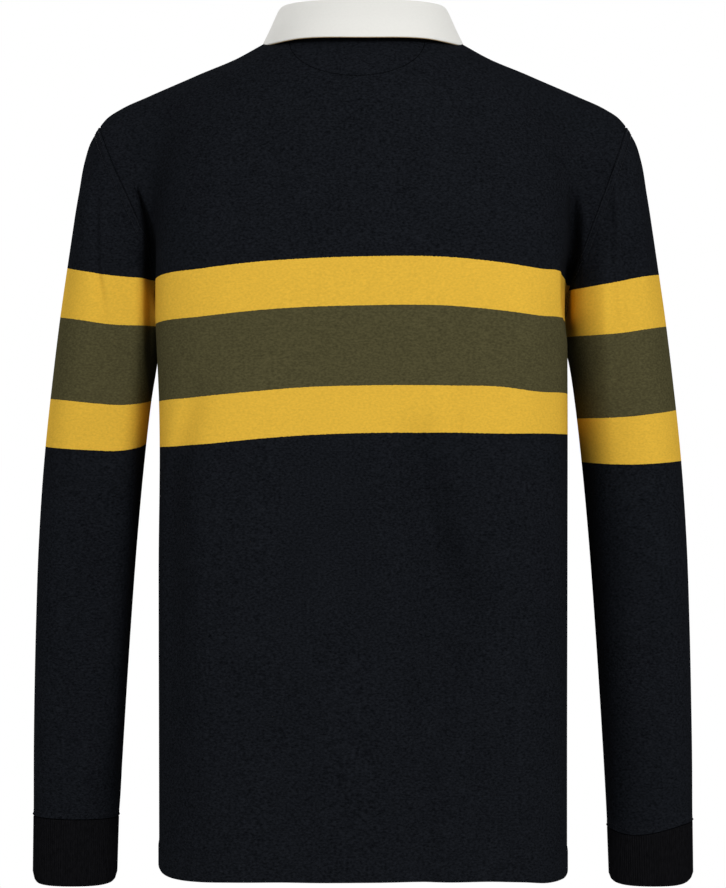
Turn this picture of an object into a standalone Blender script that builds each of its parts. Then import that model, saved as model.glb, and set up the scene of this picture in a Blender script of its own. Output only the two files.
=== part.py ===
"""A long-sleeved rugby shirt, filled out as if worn, with nobody in it.

The front faces -Y and the back +Y, the wearer's left is +X and up is +Z, in metres. The origin lies
between the shoulders, level with the points where the shoulder seams reach the neck.

Every piece that is cut and sewn is one object. A piece of jersey or twill is an open surface, worked out as
a grid of points, that Solidify turns into a wall with half its thickness on each side. A ribbed cuff is
lofted between its ribbed outside and its plain inside, because Solidify would copy the ribs to the inside.
"""
import math
from collections import namedtuple

import bmesh
import bpy
import numpy as np
from mathutils import Vector

# ---- driving sizes -------------------------------------------------------------------------------
JERSEY = 0.0016  # thickness of the heavy jersey of body and sleeves
TWILL = 0.0013  # thickness of one band of the collar and placket cloth
COLLAR_CLOTH = 0.0020  # the collar's two layers of twill with their interfacing
PATCH_CLOTH = 0.0010
SEAM_GAP = 0.0003  # left between two pieces that are sewn together
SHOULDER_GAP = 0.0009  # wider where two walls meet at an angle, so that their inner faces stay clear
ARMHOLE_GAP_TOP = 0.0006
ARMHOLE_GAP_UNDER = 0.0015  # the sleeve leaves the side of the body at a right angle there

ARMPIT_Z = -0.2390
SHOULDER_TIP = (0.2345, -0.0040, -0.0735)

NECK_HALF_WIDTH = 0.0780
NECK_BACK_Y = 0.0700
NECK_FRONT_Y = -0.0820
NECK_BACK_Z = 0.0015
NECK_SIDE_Z = 0.0035
NECK_FRONT_Z = -0.0700
NECK_FRONT_SCOOP = 1.7  # above 1, the neck seam drops late on its way to the middle of the front

PLACKET_LENGTH = 0.165
PLACKET_UPPER_WIDTH = 0.034
PLACKET_UNDER_WIDTH = 0.030
PLACKET_SLOT_WIDTH = 0.022
PLACKET_FOOT = 0.012  # of the placket, below the end of the front's slot
PLACKET_TOP_GAP = 0.0020
BUTTON_RADIUS = 0.0075
BUTTON_THICKNESS = 0.0030
BUTTON_BEVEL = 0.0006
BUTTON_DROPS = (0.022, 0.082, 0.142)  # of each button's middle below the neck seam

CUFF_RIBS = 84
CUFF_WALL = 0.0019  # from the ribs' crests to the plain inside
RIB_HEIGHT = 0.0005
CUFF_LENGTH = 0.055
CUFF_EDGE_TUCK = 0.0007  # how far the cuff's folded edge draws in

PATCH_HALF_WIDTH = 0.060
PATCH_TOP = 0.004  # below the neck seam
PATCH_DROP = 0.046
PATCH_CORNER = 0.006  # height left at the half-moon's ends
PATCH_GAP = 0.0010

# ---- how finely the surfaces are divided ---------------------------------------------------------
COLUMNS_PER_HALF = 17  # of a body panel, from its middle to its side
COLUMN_CROWDING = 1.5  # how much closer the columns stand towards the side, where the folds are
NECK_COLUMNS = 5  # of the columns, the ones that end on the neck seam
ROWS_BELOW = 8
ROWS_ABOVE = 12
SLEEVE_AROUND = 26
SLEEVE_ROWS = 18
SLEEVE_CROWDING = 1.15  # how much closer the sleeve's rows stand towards the shoulder
CUFF_RING_SHARES = (0.0, 0.955, 1.0)
COLLAR_AROUND = 36
COLLAR_STEPS = (0, 1, 1.9, 2.5, 3, 3.5, 4.1, 5, 6)
PLACKET_ROWS = 12
BUTTON_SEGMENTS = 16
PATCH_COLUMNS = 15
PATCH_ROWS = 6
PATCH_REACH = 0.985  # share of the half-moon's half width that its last column reaches
CURVE_STEPS = 129  # along a curve whose length is added up
SMALL_STEP = 0.004  # share of a sleeve's length over which its direction is read
BUTTON_PATCH = 0.002  # half the width of the placket that a button's tilt is read from
BUTTON_PATCH_HEIGHT = 0.01
NECK_SHARE = 1 - (1 - NECK_COLUMNS / COLUMNS_PER_HALF) ** COLUMN_CROWDING
NEAR_MIDDLE = 0.04  # share of a panel's half where its columns are still evenly spaced

# ---- how the surfaces bend -------------------------------------------------------------------------
QUARTER_TURN = math.pi / 2
EDGE_PULL = 5  # how fast the armhole's pull on a panel fades towards the middle
SEAM_HOLD = 60  # how close to a seam the folds run before it holds them flat
BOW_REACH = 0.10  # share of a sleeve's length over which the bow of its armhole seam fades
LEAF_SPREAD = 1.5  # how late on its way down the collar's leaf spreads sideways
PANEL_HALF_GIRTH = 0.27  # round a panel from its middle to its side
PANEL_RISE = 0.16  # from the armpit up to the shoulder seam
ARRIVAL_LEAN = {"back": 14.0, "front": 26.0}  # degrees short of level as a panel reaches the neck seam

# ---- tables of sections --------------------------------------------------------------------------
# The body's level sections: half width to the wearer's left and right, depth behind and in front of the
# middle, and how square its corners are.
BodySection = namedtuple("BodySection", "z left right back front square")
BODY_SECTIONS = (
    BodySection(z=-0.7235, left=0.1802, right=0.1802, back=0.1290, front=0.1230, square=2.5),
    BodySection(z=-0.6200, left=0.1802, right=0.1802, back=0.1290, front=0.1235, square=2.2),
    BodySection(z=-0.4600, left=0.1802, right=0.1802, back=0.1280, front=0.1250, square=1.9),
    BodySection(z=-0.3100, left=0.1802, right=0.1802, back=0.1275, front=0.1255, square=1.8),
    BodySection(z=-0.2390, left=0.1818, right=0.1782, back=0.1270, front=0.1250, square=1.7),
)

# The top of the shoulder, from the neck seam out to the sleeve.
RidgePoint = namedtuple("RidgePoint", "x z")
SHOULDER_RIDGE = (
    RidgePoint(x=NECK_HALF_WIDTH, z=NECK_SIDE_Z),
    RidgePoint(x=0.0990, z=-0.0064),
    RidgePoint(x=0.1400, z=-0.0228),
    RidgePoint(x=0.1900, z=-0.0441),
    RidgePoint(x=0.2130, z=-0.0548),
    RidgePoint(x=0.2280, z=-0.0645),
    RidgePoint(x=SHOULDER_TIP[0], z=SHOULDER_TIP[2]),
)

# The sleeve's rings: its outer and inner line, how far the ring's middle lies behind the shirt's, and its
# depth behind and in front of that middle. The first ring is the armhole.
SleeveRing = namedtuple("SleeveRing", "outer_x outer_z inner_x inner_z middle_y back front")
SLEEVE_RINGS = (
    SleeveRing(0.2345, -0.0735, 0.1800, -0.2390, -0.004, 0.052, 0.056),
    SleeveRing(0.2472, -0.1005, 0.1842, -0.2396, -0.005, 0.058, 0.062),
    SleeveRing(0.2513, -0.1300, 0.1866, -0.2430, -0.006, 0.063, 0.066),
    SleeveRing(0.2560, -0.1630, 0.1870, -0.2520, -0.007, 0.066, 0.069),
    SleeveRing(0.2608, -0.1950, 0.1862, -0.2640, -0.008, 0.067, 0.070),
    SleeveRing(0.2668, -0.2350, 0.1852, -0.2800, -0.009, 0.066, 0.070),
    SleeveRing(0.2754, -0.3020, 0.1875, -0.3160, -0.010, 0.062, 0.068),
    SleeveRing(0.2821, -0.3650, 0.1942, -0.3700, -0.012, 0.058, 0.064),
    SleeveRing(0.2864, -0.4360, 0.2018, -0.4380, -0.014, 0.054, 0.060),
    SleeveRing(0.2896, -0.5100, 0.2074, -0.5110, -0.017, 0.050, 0.055),
    SleeveRing(0.2922, -0.5900, 0.2127, -0.5900, -0.020, 0.045, 0.048),
    SleeveRing(0.2938, -0.6420, 0.2155, -0.6400, -0.022, 0.041, 0.042),
    SleeveRing(0.2942, -0.6700, 0.2177, -0.6680, -0.023, 0.037, 0.038),
    SleeveRing(0.2943, -0.6850, 0.2192, -0.6840, -0.023, 0.033, 0.034),
)

# Each sleeve differs a little: how far its armhole seam bows outwards halfway, and where its cuff is sewn on
# at the outer and inner edge.
SleeveSide = namedtuple("SleeveSide", "name side armpit_x bow cuff_outer_z cuff_inner_z")
SLEEVE_SIDES = (
    SleeveSide("left", side=1, armpit_x=0.1818, bow=-0.0130, cuff_outer_z=-0.6820, cuff_inner_z=-0.6820),
    SleeveSide("right", side=-1, armpit_x=0.1782, bow=0.0050, cuff_outer_z=-0.6885, cuff_inner_z=-0.6940),
)
CUFF_END_Z = -0.7415
CUFF_MIDDLE_X = 0.2568
CUFF_MIDDLE_Y = -0.0240
CUFF_HALF_WIDTH = 0.0368
CUFF_HALF_DEPTH = 0.0300

# The collar's stations from the middle of the back round to the middle of the front: how far its base stands
# above the neck seam, where its fold and its loose edge lie, measured outwards and upwards from the neck
# seam, and how far the edge spreads sideways.
CollarStation = namedtuple("CollarStation", "share base_up fold_out fold_up edge_out edge_up spread")
COLLAR_STATIONS = (
    CollarStation(0.00, 0.0014, -0.0130, 0.0322, 0.0135, -0.0040, 0.000),
    CollarStation(0.25, 0.0014, -0.0110, 0.0318, 0.0135, -0.0035, 0.000),
    CollarStation(0.42, 0.0018, -0.0080, 0.0308, 0.0122, -0.0006, 0.000),
    CollarStation(0.50, 0.0020, -0.0065, 0.0300, 0.0110, 0.0008, 0.000),
    CollarStation(0.62, 0.0030, -0.0050, 0.0290, 0.0150, 0.0036, 0.001),
    CollarStation(0.75, 0.0046, -0.0040, 0.0270, 0.0225, -0.0058, 0.006),
    CollarStation(0.88, 0.0026, -0.0025, 0.0252, 0.0260, -0.0215, 0.022),
    CollarStation(1.00, 0.0014, -0.0010, 0.0240, 0.0265, -0.0380, 0.046),
)
COLLAR_FOLD_RADIUS = 0.0030
COLLAR_FRONT_GAP = 0.0060  # between the collar's two ends at the middle of the front
COLLAR_BASE_IN = 0.0012  # how far inside the neck seam the collar's base stands
LEAF_BOW = 0.0012  # how far the leaf arches between fold and edge

# Soft troughs, or ridges where the depth is negative, between two places seen square on.
Fold = namedtuple("Fold", "piece face x0 z0 x1 z1 width depth")
FOLDS = (
    Fold("body", "back", 0.2060, -0.1240, 0.1950, -0.1350, 0.008, 0.0060),
    Fold("body", "back", 0.1950, -0.1350, 0.1905, -0.1700, 0.008, 0.0075),
    Fold("body", "back", 0.1905, -0.1700, 0.1860, -0.2150, 0.008, 0.0045),
    Fold("body", "back", -0.1885, -0.1150, -0.1885, -0.1550, 0.008, 0.0070),
    Fold("body", "back", -0.1885, -0.1550, -0.1930, -0.1885, 0.008, 0.0075),
    Fold("body", "back", -0.1750, -0.1250, -0.1740, -0.2100, 0.011, -0.0025),
    Fold("body", "back", 0.1480, -0.3600, 0.1520, -0.6300, 0.015, 0.0040),
    Fold("body", "back", 0.0530, -0.5800, 0.0560, -0.7300, 0.018, 0.0022),
    Fold("body", "back", -0.0340, -0.4000, -0.0400, -0.7300, 0.020, -0.0020),
    Fold("body", "back", -0.0720, -0.3500, -0.0740, -0.4900, 0.018, 0.0024),
    Fold("body", "back", -0.1170, -0.4900, -0.1210, -0.6300, 0.016, 0.0028),
    Fold("body", "front", 0.1420, -0.3300, 0.1500, -0.6500, 0.016, 0.0040),
    Fold("body", "front", -0.1380, -0.3600, -0.1470, -0.6200, 0.016, 0.0038),
    Fold("body", "front", 0.0640, -0.4700, 0.0560, -0.7300, 0.018, 0.0024),
    Fold("body", "front", -0.0760, -0.5200, -0.0700, -0.7300, 0.018, 0.0026),
    Fold("body", "front", 0.1880, -0.1300, 0.1660, -0.2450, 0.011, 0.0060),
    Fold("body", "front", -0.1900, -0.1350, -0.1640, -0.2400, 0.011, 0.0060),
    Fold("left", "back", 0.2345, -0.1350, 0.2345, -0.2450, 0.010, 0.0032),
    Fold("left", "front", 0.2150, -0.2000, 0.2450, -0.3300, 0.012, 0.0040),
    Fold("left", "front", 0.2250, -0.4350, 0.2700, -0.4700, 0.016, 0.0055),
    Fold("right", "back", -0.2280, -0.1150, -0.2280, -0.1900, 0.009, -0.0022),
    Fold("right", "back", -0.2527, -0.1400, -0.2527, -0.1960, 0.009, -0.0022),
    Fold("right", "front", -0.2130, -0.2100, -0.2400, -0.3500, 0.012, 0.0040),
    Fold("right", "front", -0.2230, -0.4250, -0.2680, -0.4650, 0.016, 0.0055),
)

Finish = namedtuple("Finish", "colour roughness")
FINISHES = {
    "navy_jersey": Finish(colour=(0.0075, 0.0085, 0.0115), roughness=0.90),
    "black_rib": Finish(colour=(0.0045, 0.0045, 0.0055), roughness=0.92),
    "ecru_twill": Finish(colour=(0.76, 0.75, 0.71), roughness=0.85),
    "ecru_rubber": Finish(colour=(0.70, 0.69, 0.64), roughness=0.50),
}


# ---- curves --------------------------------------------------------------------------------------
def column(table, name):
    """One named column of a table."""
    return np.array([row._asdict()[name] for row in table])


def through(knots, values, at):
    """A smooth curve through `values` at `knots`, read at `at`: cubics sloped by their neighbours."""
    knots = np.asarray(knots, float)
    values = np.asarray(values, float)
    slopes = np.gradient(values, knots, axis=0)
    at = np.asarray(at, float)
    i = np.clip(np.searchsorted(knots, at, side="right") - 1, 0, len(knots) - 2)
    span = knots[i + 1] - knots[i]
    t = (at - knots[i]) / span
    if values.ndim > 1:
        t = t[..., None]
        span = span[..., None]
    rise = t * t * (3 - 2 * t)
    return (
        values[i] * (1 - rise)
        + values[i + 1] * rise
        + slopes[i] * span * t * (1 - t) ** 2
        - slopes[i + 1] * span * t * t * (1 - t)
    )


def unit_section(square, share):
    """A quarter of a level section, 1 across and 1 deep, at `share` of its length from the middle.

    Its heading swings from straight across to straight along, and the larger `square`, the more suddenly.
    """
    steps = np.linspace(0, 1, CURVE_STEPS)
    heading = QUARTER_TURN * steps**square / (steps**square + (1 - steps) ** square)
    across = np.concatenate([[0], np.cumsum(np.cos(heading[1:]) + np.cos(heading[:-1]))])
    along = np.concatenate([[0], np.cumsum(np.sin(heading[1:]) + np.sin(heading[:-1]))])
    return np.interp(share, steps, across / across[-1]), 1 - np.interp(share, steps, along / along[-1])


def level_section(z, shares, face):
    """Points round one face of the body at height z, from share -1, the right side, to 1, the left."""
    half_widths = np.where(
        shares > 0,
        through(column(BODY_SECTIONS, "z"), column(BODY_SECTIONS, "left"), z),
        through(column(BODY_SECTIONS, "z"), column(BODY_SECTIONS, "right"), z),
    )
    depth = through(column(BODY_SECTIONS, "z"), column(BODY_SECTIONS, face), z)
    square = through(column(BODY_SECTIONS, "z"), column(BODY_SECTIONS, "square"), z)
    across, along = unit_section(float(square), np.abs(shares))
    toward = 1 if face == "back" else -1
    sideways = np.sign(shares) * half_widths * across
    return np.stack([sideways, toward * depth * along, np.full_like(shares, z)], -1)


def neck_seam(turn):
    """The neck seam, at angles from 0, the middle of the back, over the left shoulder to pi, the front."""
    out, back = np.abs(np.sin(turn)), np.cos(turn)
    y = np.where(back > 0, NECK_BACK_Y * back, -NECK_FRONT_Y * back)
    z_back = NECK_BACK_Z + (NECK_SIDE_Z - NECK_BACK_Z) * out**2
    z_front = NECK_SIDE_Z + (NECK_FRONT_Z - NECK_SIDE_Z) * np.abs(back) ** NECK_FRONT_SCOOP
    return np.stack([NECK_HALF_WIDTH * np.sin(turn), y, np.where(back > 0, z_back, z_front)], -1)


def top_edge(shares, face):
    """The top edge of a body panel: the neck seam in the middle, then the shoulder seams."""
    size = np.abs(shares)
    turn = QUARTER_TURN * np.clip(size / NECK_SHARE, 0, 1)
    neck = neck_seam(turn if face == "back" else math.pi - turn)
    ridge = np.array(SHOULDER_RIDGE)
    steps = np.concatenate([[0], np.cumsum(np.hypot(*np.diff(ridge, axis=0).T))])
    along = np.clip((size - NECK_SHARE) / (1 - NECK_SHARE), 0, 1)
    ridge = through(steps / steps[-1], ridge, along)
    shoulder = np.stack([ridge[:, 0], SHOULDER_TIP[1] * along, ridge[:, 1]], -1)
    points = np.where((size > NECK_SHARE)[:, None], shoulder, neck)
    return points * np.stack([np.where(shares < 0, -1, 1), np.ones_like(size), np.ones_like(size)], -1)


def sleeve_side(side):
    """The row of the sleeve on this side: 1 the wearer's left, -1 the right."""
    return next(row for row in SLEEVE_SIDES if row.side == side)


def sleeve_section(row, shares, turns):
    """Points of a sleeve: one ring for each share of its length, at angles from 0, its outer line, over the
    back to pi, its inner line, and round the front to 2 pi."""
    rings = np.array(SLEEVE_RINGS)
    rings[0, 2] = row.armpit_x
    rings[-1, [1, 3]] = row.cuff_outer_z, row.cuff_inner_z
    middles = (rings[:, 0:2] + rings[:, 2:4]) / 2
    steps = np.concatenate([[0], np.cumsum(np.hypot(*np.diff(middles, axis=0).T))])
    ring = through(steps / steps[-1], rings, shares)[:, None, :]
    ring = np.broadcast_to(ring, (len(shares), len(turns), rings.shape[1]))
    lean = (1 - np.cos(turns)) / 2
    bow = row.bow * np.sin(turns) ** 2 * lean * np.exp(-((shares / BOW_REACH) ** 2))[:, None]
    x = ring[..., 0] * (1 - lean) + ring[..., 2] * lean + bow
    z = ring[..., 1] * (1 - lean) + ring[..., 3] * lean
    depth = np.where(np.sin(turns) > 0, ring[..., 5], ring[..., 6])
    return np.stack([row.side * x, ring[..., 4] + depth * np.sin(turns), z], -1)


def normals(points):
    """The surface's direction outwards at each point of a grid, across the columns and then up the rows."""
    up, across = np.gradient(points, axis=0), np.gradient(points, axis=1)
    direction = np.cross(across, up)
    return direction / np.linalg.norm(direction, axis=-1, keepdims=True)


def fold_depths(points, piece, face):
    """How far the folds of one face of a piece press it in: a soft trough along each fold's line."""
    depth = np.zeros(points.shape[:-1])
    flat = points[..., [0, 2]]
    for fold in FOLDS:
        if (fold.piece, fold.face) != (piece, face):
            continue
        start, end = np.array([fold.x0, fold.z0]), np.array([fold.x1, fold.z1])
        run = end - start
        along = np.clip(((flat - start) @ run) / (run @ run), 0, 1)
        away = np.linalg.norm(flat - start - along[..., None] * run, axis=-1)
        depth += fold.depth * np.exp(-((away / fold.width) ** 2))
    return depth


# ---- surfaces of the pieces ----------------------------------------------------------------------
def panel(face, shares, heights):
    """A body panel: rows from the hem, height -1, past the armpits, 0, to the shoulder and neck seams, 1.

    Above the armpits every column is part of an ellipse that leaves the chest upright and arrives level on
    top of the shoulder, or nearly so at the neck. What then parts the last column from the armhole is pulled
    in, less and less towards the middle.
    """
    shares = np.broadcast_to(shares, (len(heights), np.shape(shares)[-1]))
    sides = np.array([-1.0, 1.0])
    side_chest, side_top = level_section(ARMPIT_Z, sides, face), top_edge(sides, face)
    rows = []
    for share, height in zip(shares, heights):
        if height <= 0:
            rows.append(level_section(ARMPIT_Z + (ARMPIT_Z - BODY_SECTIONS[0].z) * height, share, face))
            continue
        chest, top = level_section(ARMPIT_Z, share, face), top_edge(share, face)
        lean = ARRIVAL_LEAN[face] * np.clip(1 - (share / NECK_SHARE) ** 2, 0, 1)
        arrive = np.radians(90 - lean)
        turn = height * arrive
        forward, upward = (1 - np.cos(turn)) / (1 - np.cos(arrive)), np.sin(turn) / np.sin(arrive)
        row = chest + (top - chest) * np.stack([forward, forward, upward], -1)
        forward, upward = 1 - math.cos(height * QUARTER_TURN), math.sin(height * QUARTER_TURN)
        plain = side_chest + (side_top - side_chest) * [forward, forward, upward]
        around = np.array([math.pi * (1 - height if face == "back" else 1 + height)])
        armhole = [sleeve_section(sleeve_side(side), np.zeros(1), around)[0, 0] for side in sides]
        pull = np.array(armhole) - plain
        pull = np.where(share[:, None] < 0, pull[0], pull[1])
        rows.append(row + pull * np.abs(share)[:, None] ** EDGE_PULL)
    points = np.array(rows)
    outward = normals(points) * (-1 if face == "back" else 1) * np.sign(shares[0, -1] - shares[0, 0])
    pressed = fold_depths(points, "body", face) * (1 - np.abs(shares) ** SEAM_HOLD)
    return points - outward * pressed[..., None]


def shares_at(face, heights, x):
    """The share of each row of a panel that lies at a small distance x from the middle."""
    probe = panel(face, np.array([-NEAR_MIDDLE, 0, NEAR_MIDDLE]), heights)
    return NEAR_MIDDLE * x / probe[:, 2, 0]


def height_at(face, drop):
    """The height of a panel at a distance down its middle from the neck seam."""
    heights = np.linspace(1, 0, CURVE_STEPS)
    middle = panel(face, np.array([-NEAR_MIDDLE, 0, NEAR_MIDDLE]), heights)[:, 1]
    run = np.concatenate([[0], np.cumsum(np.linalg.norm(np.diff(middle, axis=0), axis=-1))])
    return np.interp(drop, run, heights)


def strip(face, half_widths, heights, lift):
    """A band down the middle of a panel, from the panel's own points, moved out by `lift`."""
    half_widths = np.asarray(half_widths)
    shares = shares_at(face, heights, 1.0)[:, None] * half_widths
    points = panel(face, shares, heights)
    outward = normals(points) * (-1 if face == "back" else 1)
    return points + outward * lift


def collar(shares, steps):
    """The collar: columns from the front's middle, share -1, round the back, 0, to the front again, 1. Its
    rows go up the stand from the neck seam, step 0, over the fold, 3, and down to the loose edge, 6."""
    size = np.abs(shares)
    table = {name: column(COLLAR_STATIONS, name) for name in CollarStation._fields}
    at = {name: through(table["share"], table[name], size) for name in table}
    seam = neck_seam(math.pi * shares)
    depth = np.where(size < 0.5, NECK_BACK_Y, -NECK_FRONT_Y)
    outward = np.stack([np.sin(math.pi * shares) / NECK_HALF_WIDTH, np.cos(math.pi * shares) / depth], -1)
    outward /= np.linalg.norm(outward, axis=-1, keepdims=True)
    radius = COLLAR_FOLD_RADIUS
    out = (0 * size - COLLAR_BASE_IN, 0.5 * at["fold_out"] - COLLAR_BASE_IN / 2, at["fold_out"] - radius)
    out += (at["fold_out"], at["fold_out"] + radius)
    out += ((at["fold_out"] + radius + at["edge_out"]) / 2 + LEAF_BOW, at["edge_out"])
    up = (at["base_up"], 0.5 * at["fold_up"], at["fold_up"] - radius, at["fold_up"])
    up += (at["fold_up"] - radius, (at["fold_up"] - radius + at["edge_up"]) / 2 + LEAF_BOW, at["edge_up"])
    knots = np.arange(len(out))
    out, up = through(knots, out, steps), through(knots, up, steps)
    leaf = np.clip((steps - 3) / 3, 0, 1)[:, None] ** LEAF_SPREAD
    sideways = np.sign(shares) * at["spread"] * leaf
    x = seam[:, 0] + outward[:, 0] * out + sideways
    return np.stack([x, seam[:, 1] + outward[:, 1] * out, seam[:, 2] + up], -1)


def cuff(row, shares, turns, bulge):
    """A cuff's rings, from the sleeve's end, share 0, to the wrist, 1, pushed out by `bulge`."""
    end = sleeve_section(row, np.array([1.0]), turns)[0]
    middle = np.array([row.side * CUFF_MIDDLE_X, CUFF_MIDDLE_Y, CUFF_END_Z])
    wrist = middle + np.stack(
        [row.side * CUFF_HALF_WIDTH * np.cos(turns), CUFF_HALF_DEPTH * np.sin(turns), 0 * turns], -1
    )
    points = end + (wrist - end) * shares[:, None, None]
    sideways = row.side * np.cos(turns) / CUFF_HALF_WIDTH
    outward = np.stack([sideways, np.sin(turns) / CUFF_HALF_DEPTH, 0 * turns], -1)
    outward /= np.linalg.norm(outward, axis=-1, keepdims=True)
    return points + outward * bulge[..., None]


def sleeve(row, shares, turns):
    """A sleeve with its folds pressed in."""
    points = sleeve_section(row, shares, turns)
    outward = -normals(points) * row.side
    back = np.where(np.sin(turns) > 0, 1, 0) * fold_depths(points, row.name, "back")
    front = np.where(np.sin(turns) > 0, 0, 1) * fold_depths(points, row.name, "front")
    return points - outward * (back + front)[..., None]


# ---- making objects ------------------------------------------------------------------------------
def finish_material(name):
    """A Principled material of one of the finishes."""
    if name in bpy.data.materials:
        return bpy.data.materials[name]
    material = bpy.data.materials.new(name)
    material.use_nodes = True
    shader = material.node_tree.nodes["Principled BSDF"]
    shader.inputs["Base Color"].default_value = (*FINISHES[name].colour, 1)
    shader.inputs["Roughness"].default_value = FINISHES[name].roughness
    shader.inputs["Metallic"].default_value = 0.0
    return material


def place(name, mesh, finish):
    """An object for the mesh, in the shirt's collection."""
    mesh.materials.append(finish_material(finish))
    mesh.shade_smooth()
    thing = bpy.data.objects.new(name, mesh)
    bpy.data.collections["rugby_shirt"].objects.link(thing)
    return thing


def grid_faces(rows, columns, closed=False, left_out=()):
    """Quads between the points of a grid, right round if it is closed, without the cells left out."""
    faces = []
    for i in range(rows - 1):
        for j in range(columns if closed else columns - 1):
            if (i, j) in left_out:
                continue
            k = (j + 1) % columns
            faces.append((i * columns + j, i * columns + k, (i + 1) * columns + k, (i + 1) * columns + j))
    return faces


def cloth(name, points, thickness, finish, closed=False, left_out=()):
    """A sewn piece: a grid of points as a surface, with half the cloth's thickness on each side of it."""
    mesh = bpy.data.meshes.new(name)
    faces = grid_faces(*points.shape[:2], closed=closed, left_out=left_out)
    mesh.from_pydata(points.reshape(-1, 3).tolist(), [], faces)
    tidy = bmesh.new()
    tidy.from_mesh(mesh)
    loose = [vertex for vertex in tidy.verts if not vertex.link_faces]
    bmesh.ops.delete(tidy, geom=loose, context="VERTS")
    tidy.to_mesh(mesh)
    tidy.free()
    piece = place(name, mesh, finish)
    wall = piece.modifiers.new("wall", "SOLIDIFY")
    wall.thickness = thickness
    wall.offset = 0.0
    wall.use_even_offset = False
    return piece


def panel_shares():
    """A panel's columns: even ones, the last just inside the seams."""
    half = 1 - (1 - np.linspace(0, 1, COLUMNS_PER_HALF + 1)) ** COLUMN_CROWDING
    half[-1] -= SEAM_GAP / 2 / PANEL_HALF_GIRTH
    return np.concatenate([-half[:0:-1], half])


def panel_heights(exact=None):
    """A panel's rows, from the hem to just under the shoulder seam, one of them moved to an exact height."""
    above = np.linspace(0, 1, ROWS_ABOVE + 1)
    above[-1] -= SHOULDER_GAP / 2 / PANEL_RISE
    if exact is not None:
        above[np.argmin(np.abs(above - exact))] = exact
    return np.concatenate([np.linspace(-1, 0, ROWS_BELOW + 1), above[1:]])


def make_back():
    return cloth("back", panel("back", panel_shares()[::-1], panel_heights()), JERSEY, "navy_jersey")


def make_front():
    """The front, cut open down its middle as far as the placket's foot."""
    foot = height_at("front", PLACKET_LENGTH - PLACKET_FOOT)
    heights = panel_heights(foot)
    shares = np.tile(panel_shares(), (len(heights), 1))
    slot = shares_at("front", heights, PLACKET_SLOT_WIDTH / 2)
    middle = COLUMNS_PER_HALF
    shares = np.column_stack([shares[:, :middle], -slot, slot, shares[:, middle + 1 :]])
    open_rows = np.nonzero(heights[:-1] >= foot - 1e-9)[0]
    cells = {(i, middle) for i in open_rows}
    return cloth("front", panel("front", shares, heights), JERSEY, "navy_jersey", left_out=cells)


def make_neck_patch():
    """The half-moon sewn inside the back under the neck seam."""
    across = np.linspace(-PATCH_REACH, PATCH_REACH, PATCH_COLUMNS)
    down = np.linspace(0, 1, PATCH_ROWS)[:, None]
    drop = PATCH_TOP + (PATCH_DROP - PATCH_TOP) * down * np.sqrt(1 - across**2)
    drop = drop + PATCH_CORNER * down
    heights = height_at("back", drop)
    shares = NECK_SHARE * np.arcsin(across * PATCH_HALF_WIDTH / NECK_HALF_WIDTH) / QUARTER_TURN
    backing = panel_shares()
    after = np.searchsorted(backing, shares)
    lift = JERSEY / 2 + PATCH_GAP + PATCH_CLOTH / 2
    columns = []
    for j, (left, right) in enumerate(zip(backing[after - 1], backing[after])):
        pair = panel("back", np.array([left, right]), heights[:, j])
        weight = (shares[j] - left) / (right - left)
        points = pair[:, 0] * (1 - weight) + pair[:, 1] * weight
        inward = np.cross(np.gradient(points, axis=0), pair[:, 1] - pair[:, 0])
        columns.append(points + inward / np.linalg.norm(inward, axis=-1, keepdims=True) * lift)
    return cloth("neck_patch", np.stack(columns, 1), PATCH_CLOTH, "navy_jersey")


def make_sleeve(row):
    turns = math.pi + np.linspace(0, 2 * math.pi, SLEEVE_AROUND, endpoint=False)
    shares = np.linspace(0, 1, SLEEVE_ROWS + 1) ** SLEEVE_CROWDING
    points = sleeve(row, shares, turns)
    start = sleeve(row, np.array([0, SMALL_STEP]), turns)
    away = (start[1] - start[0]) / np.linalg.norm(start[1] - start[0], axis=-1, keepdims=True)
    under = (1 - np.cos(turns))[:, None] / 2
    points[0] += away * (ARMHOLE_GAP_TOP * (1 - under) + ARMHOLE_GAP_UNDER * under)
    return cloth("sleeve_" + row.name, points, JERSEY, "navy_jersey", closed=True)


def make_cuff(row):
    """A ribbed cuff: two outer points to a rib, its crest and its valley, and one plain inner point."""
    turns = np.linspace(0, 2 * math.pi, 2 * CUFF_RIBS, endpoint=False)
    shares = np.array(CUFF_RING_SHARES)
    shares[0] = SEAM_GAP / CUFF_LENGTH
    rib = np.where(np.arange(2 * CUFF_RIBS) % 2 == 0, 0.0, -RIB_HEIGHT)
    tuck = np.array([0.0, 0.0, -CUFF_EDGE_TUCK])[:, None]
    outer = cuff(row, shares, turns, rib + tuck)
    inner = cuff(row, shares, turns[::2], np.full((len(shares), CUFF_RIBS), -CUFF_WALL))
    around, rings = 2 * CUFF_RIBS, len(shares)
    faces = grid_faces(rings, around, closed=True)
    first = rings * around
    inside = grid_faces(rings, CUFF_RIBS, closed=True)
    faces += [tuple(first + k for k in reversed(face)) for face in inside]
    for ring, flip in ((0, False), (rings - 1, True)):
        o, i = ring * around, first + ring * CUFF_RIBS
        for k in range(CUFF_RIBS):
            crest, valley, crest_on = o + 2 * k, o + 2 * k + 1, o + (2 * k + 2) % around
            behind, behind_on = i + k, i + (k + 1) % CUFF_RIBS
            cap = [(crest, behind, valley), (valley, behind, behind_on), (valley, behind_on, crest_on)]
            faces += [tuple(reversed(face)) for face in cap] if flip else cap
    mesh = bpy.data.meshes.new("cuff_" + row.name)
    mesh.from_pydata(np.concatenate([outer.reshape(-1, 3), inner.reshape(-1, 3)]).tolist(), [], faces)
    if row.side > 0:
        mesh.flip_normals()
    return place("cuff_" + row.name, mesh, "black_rib")


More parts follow.
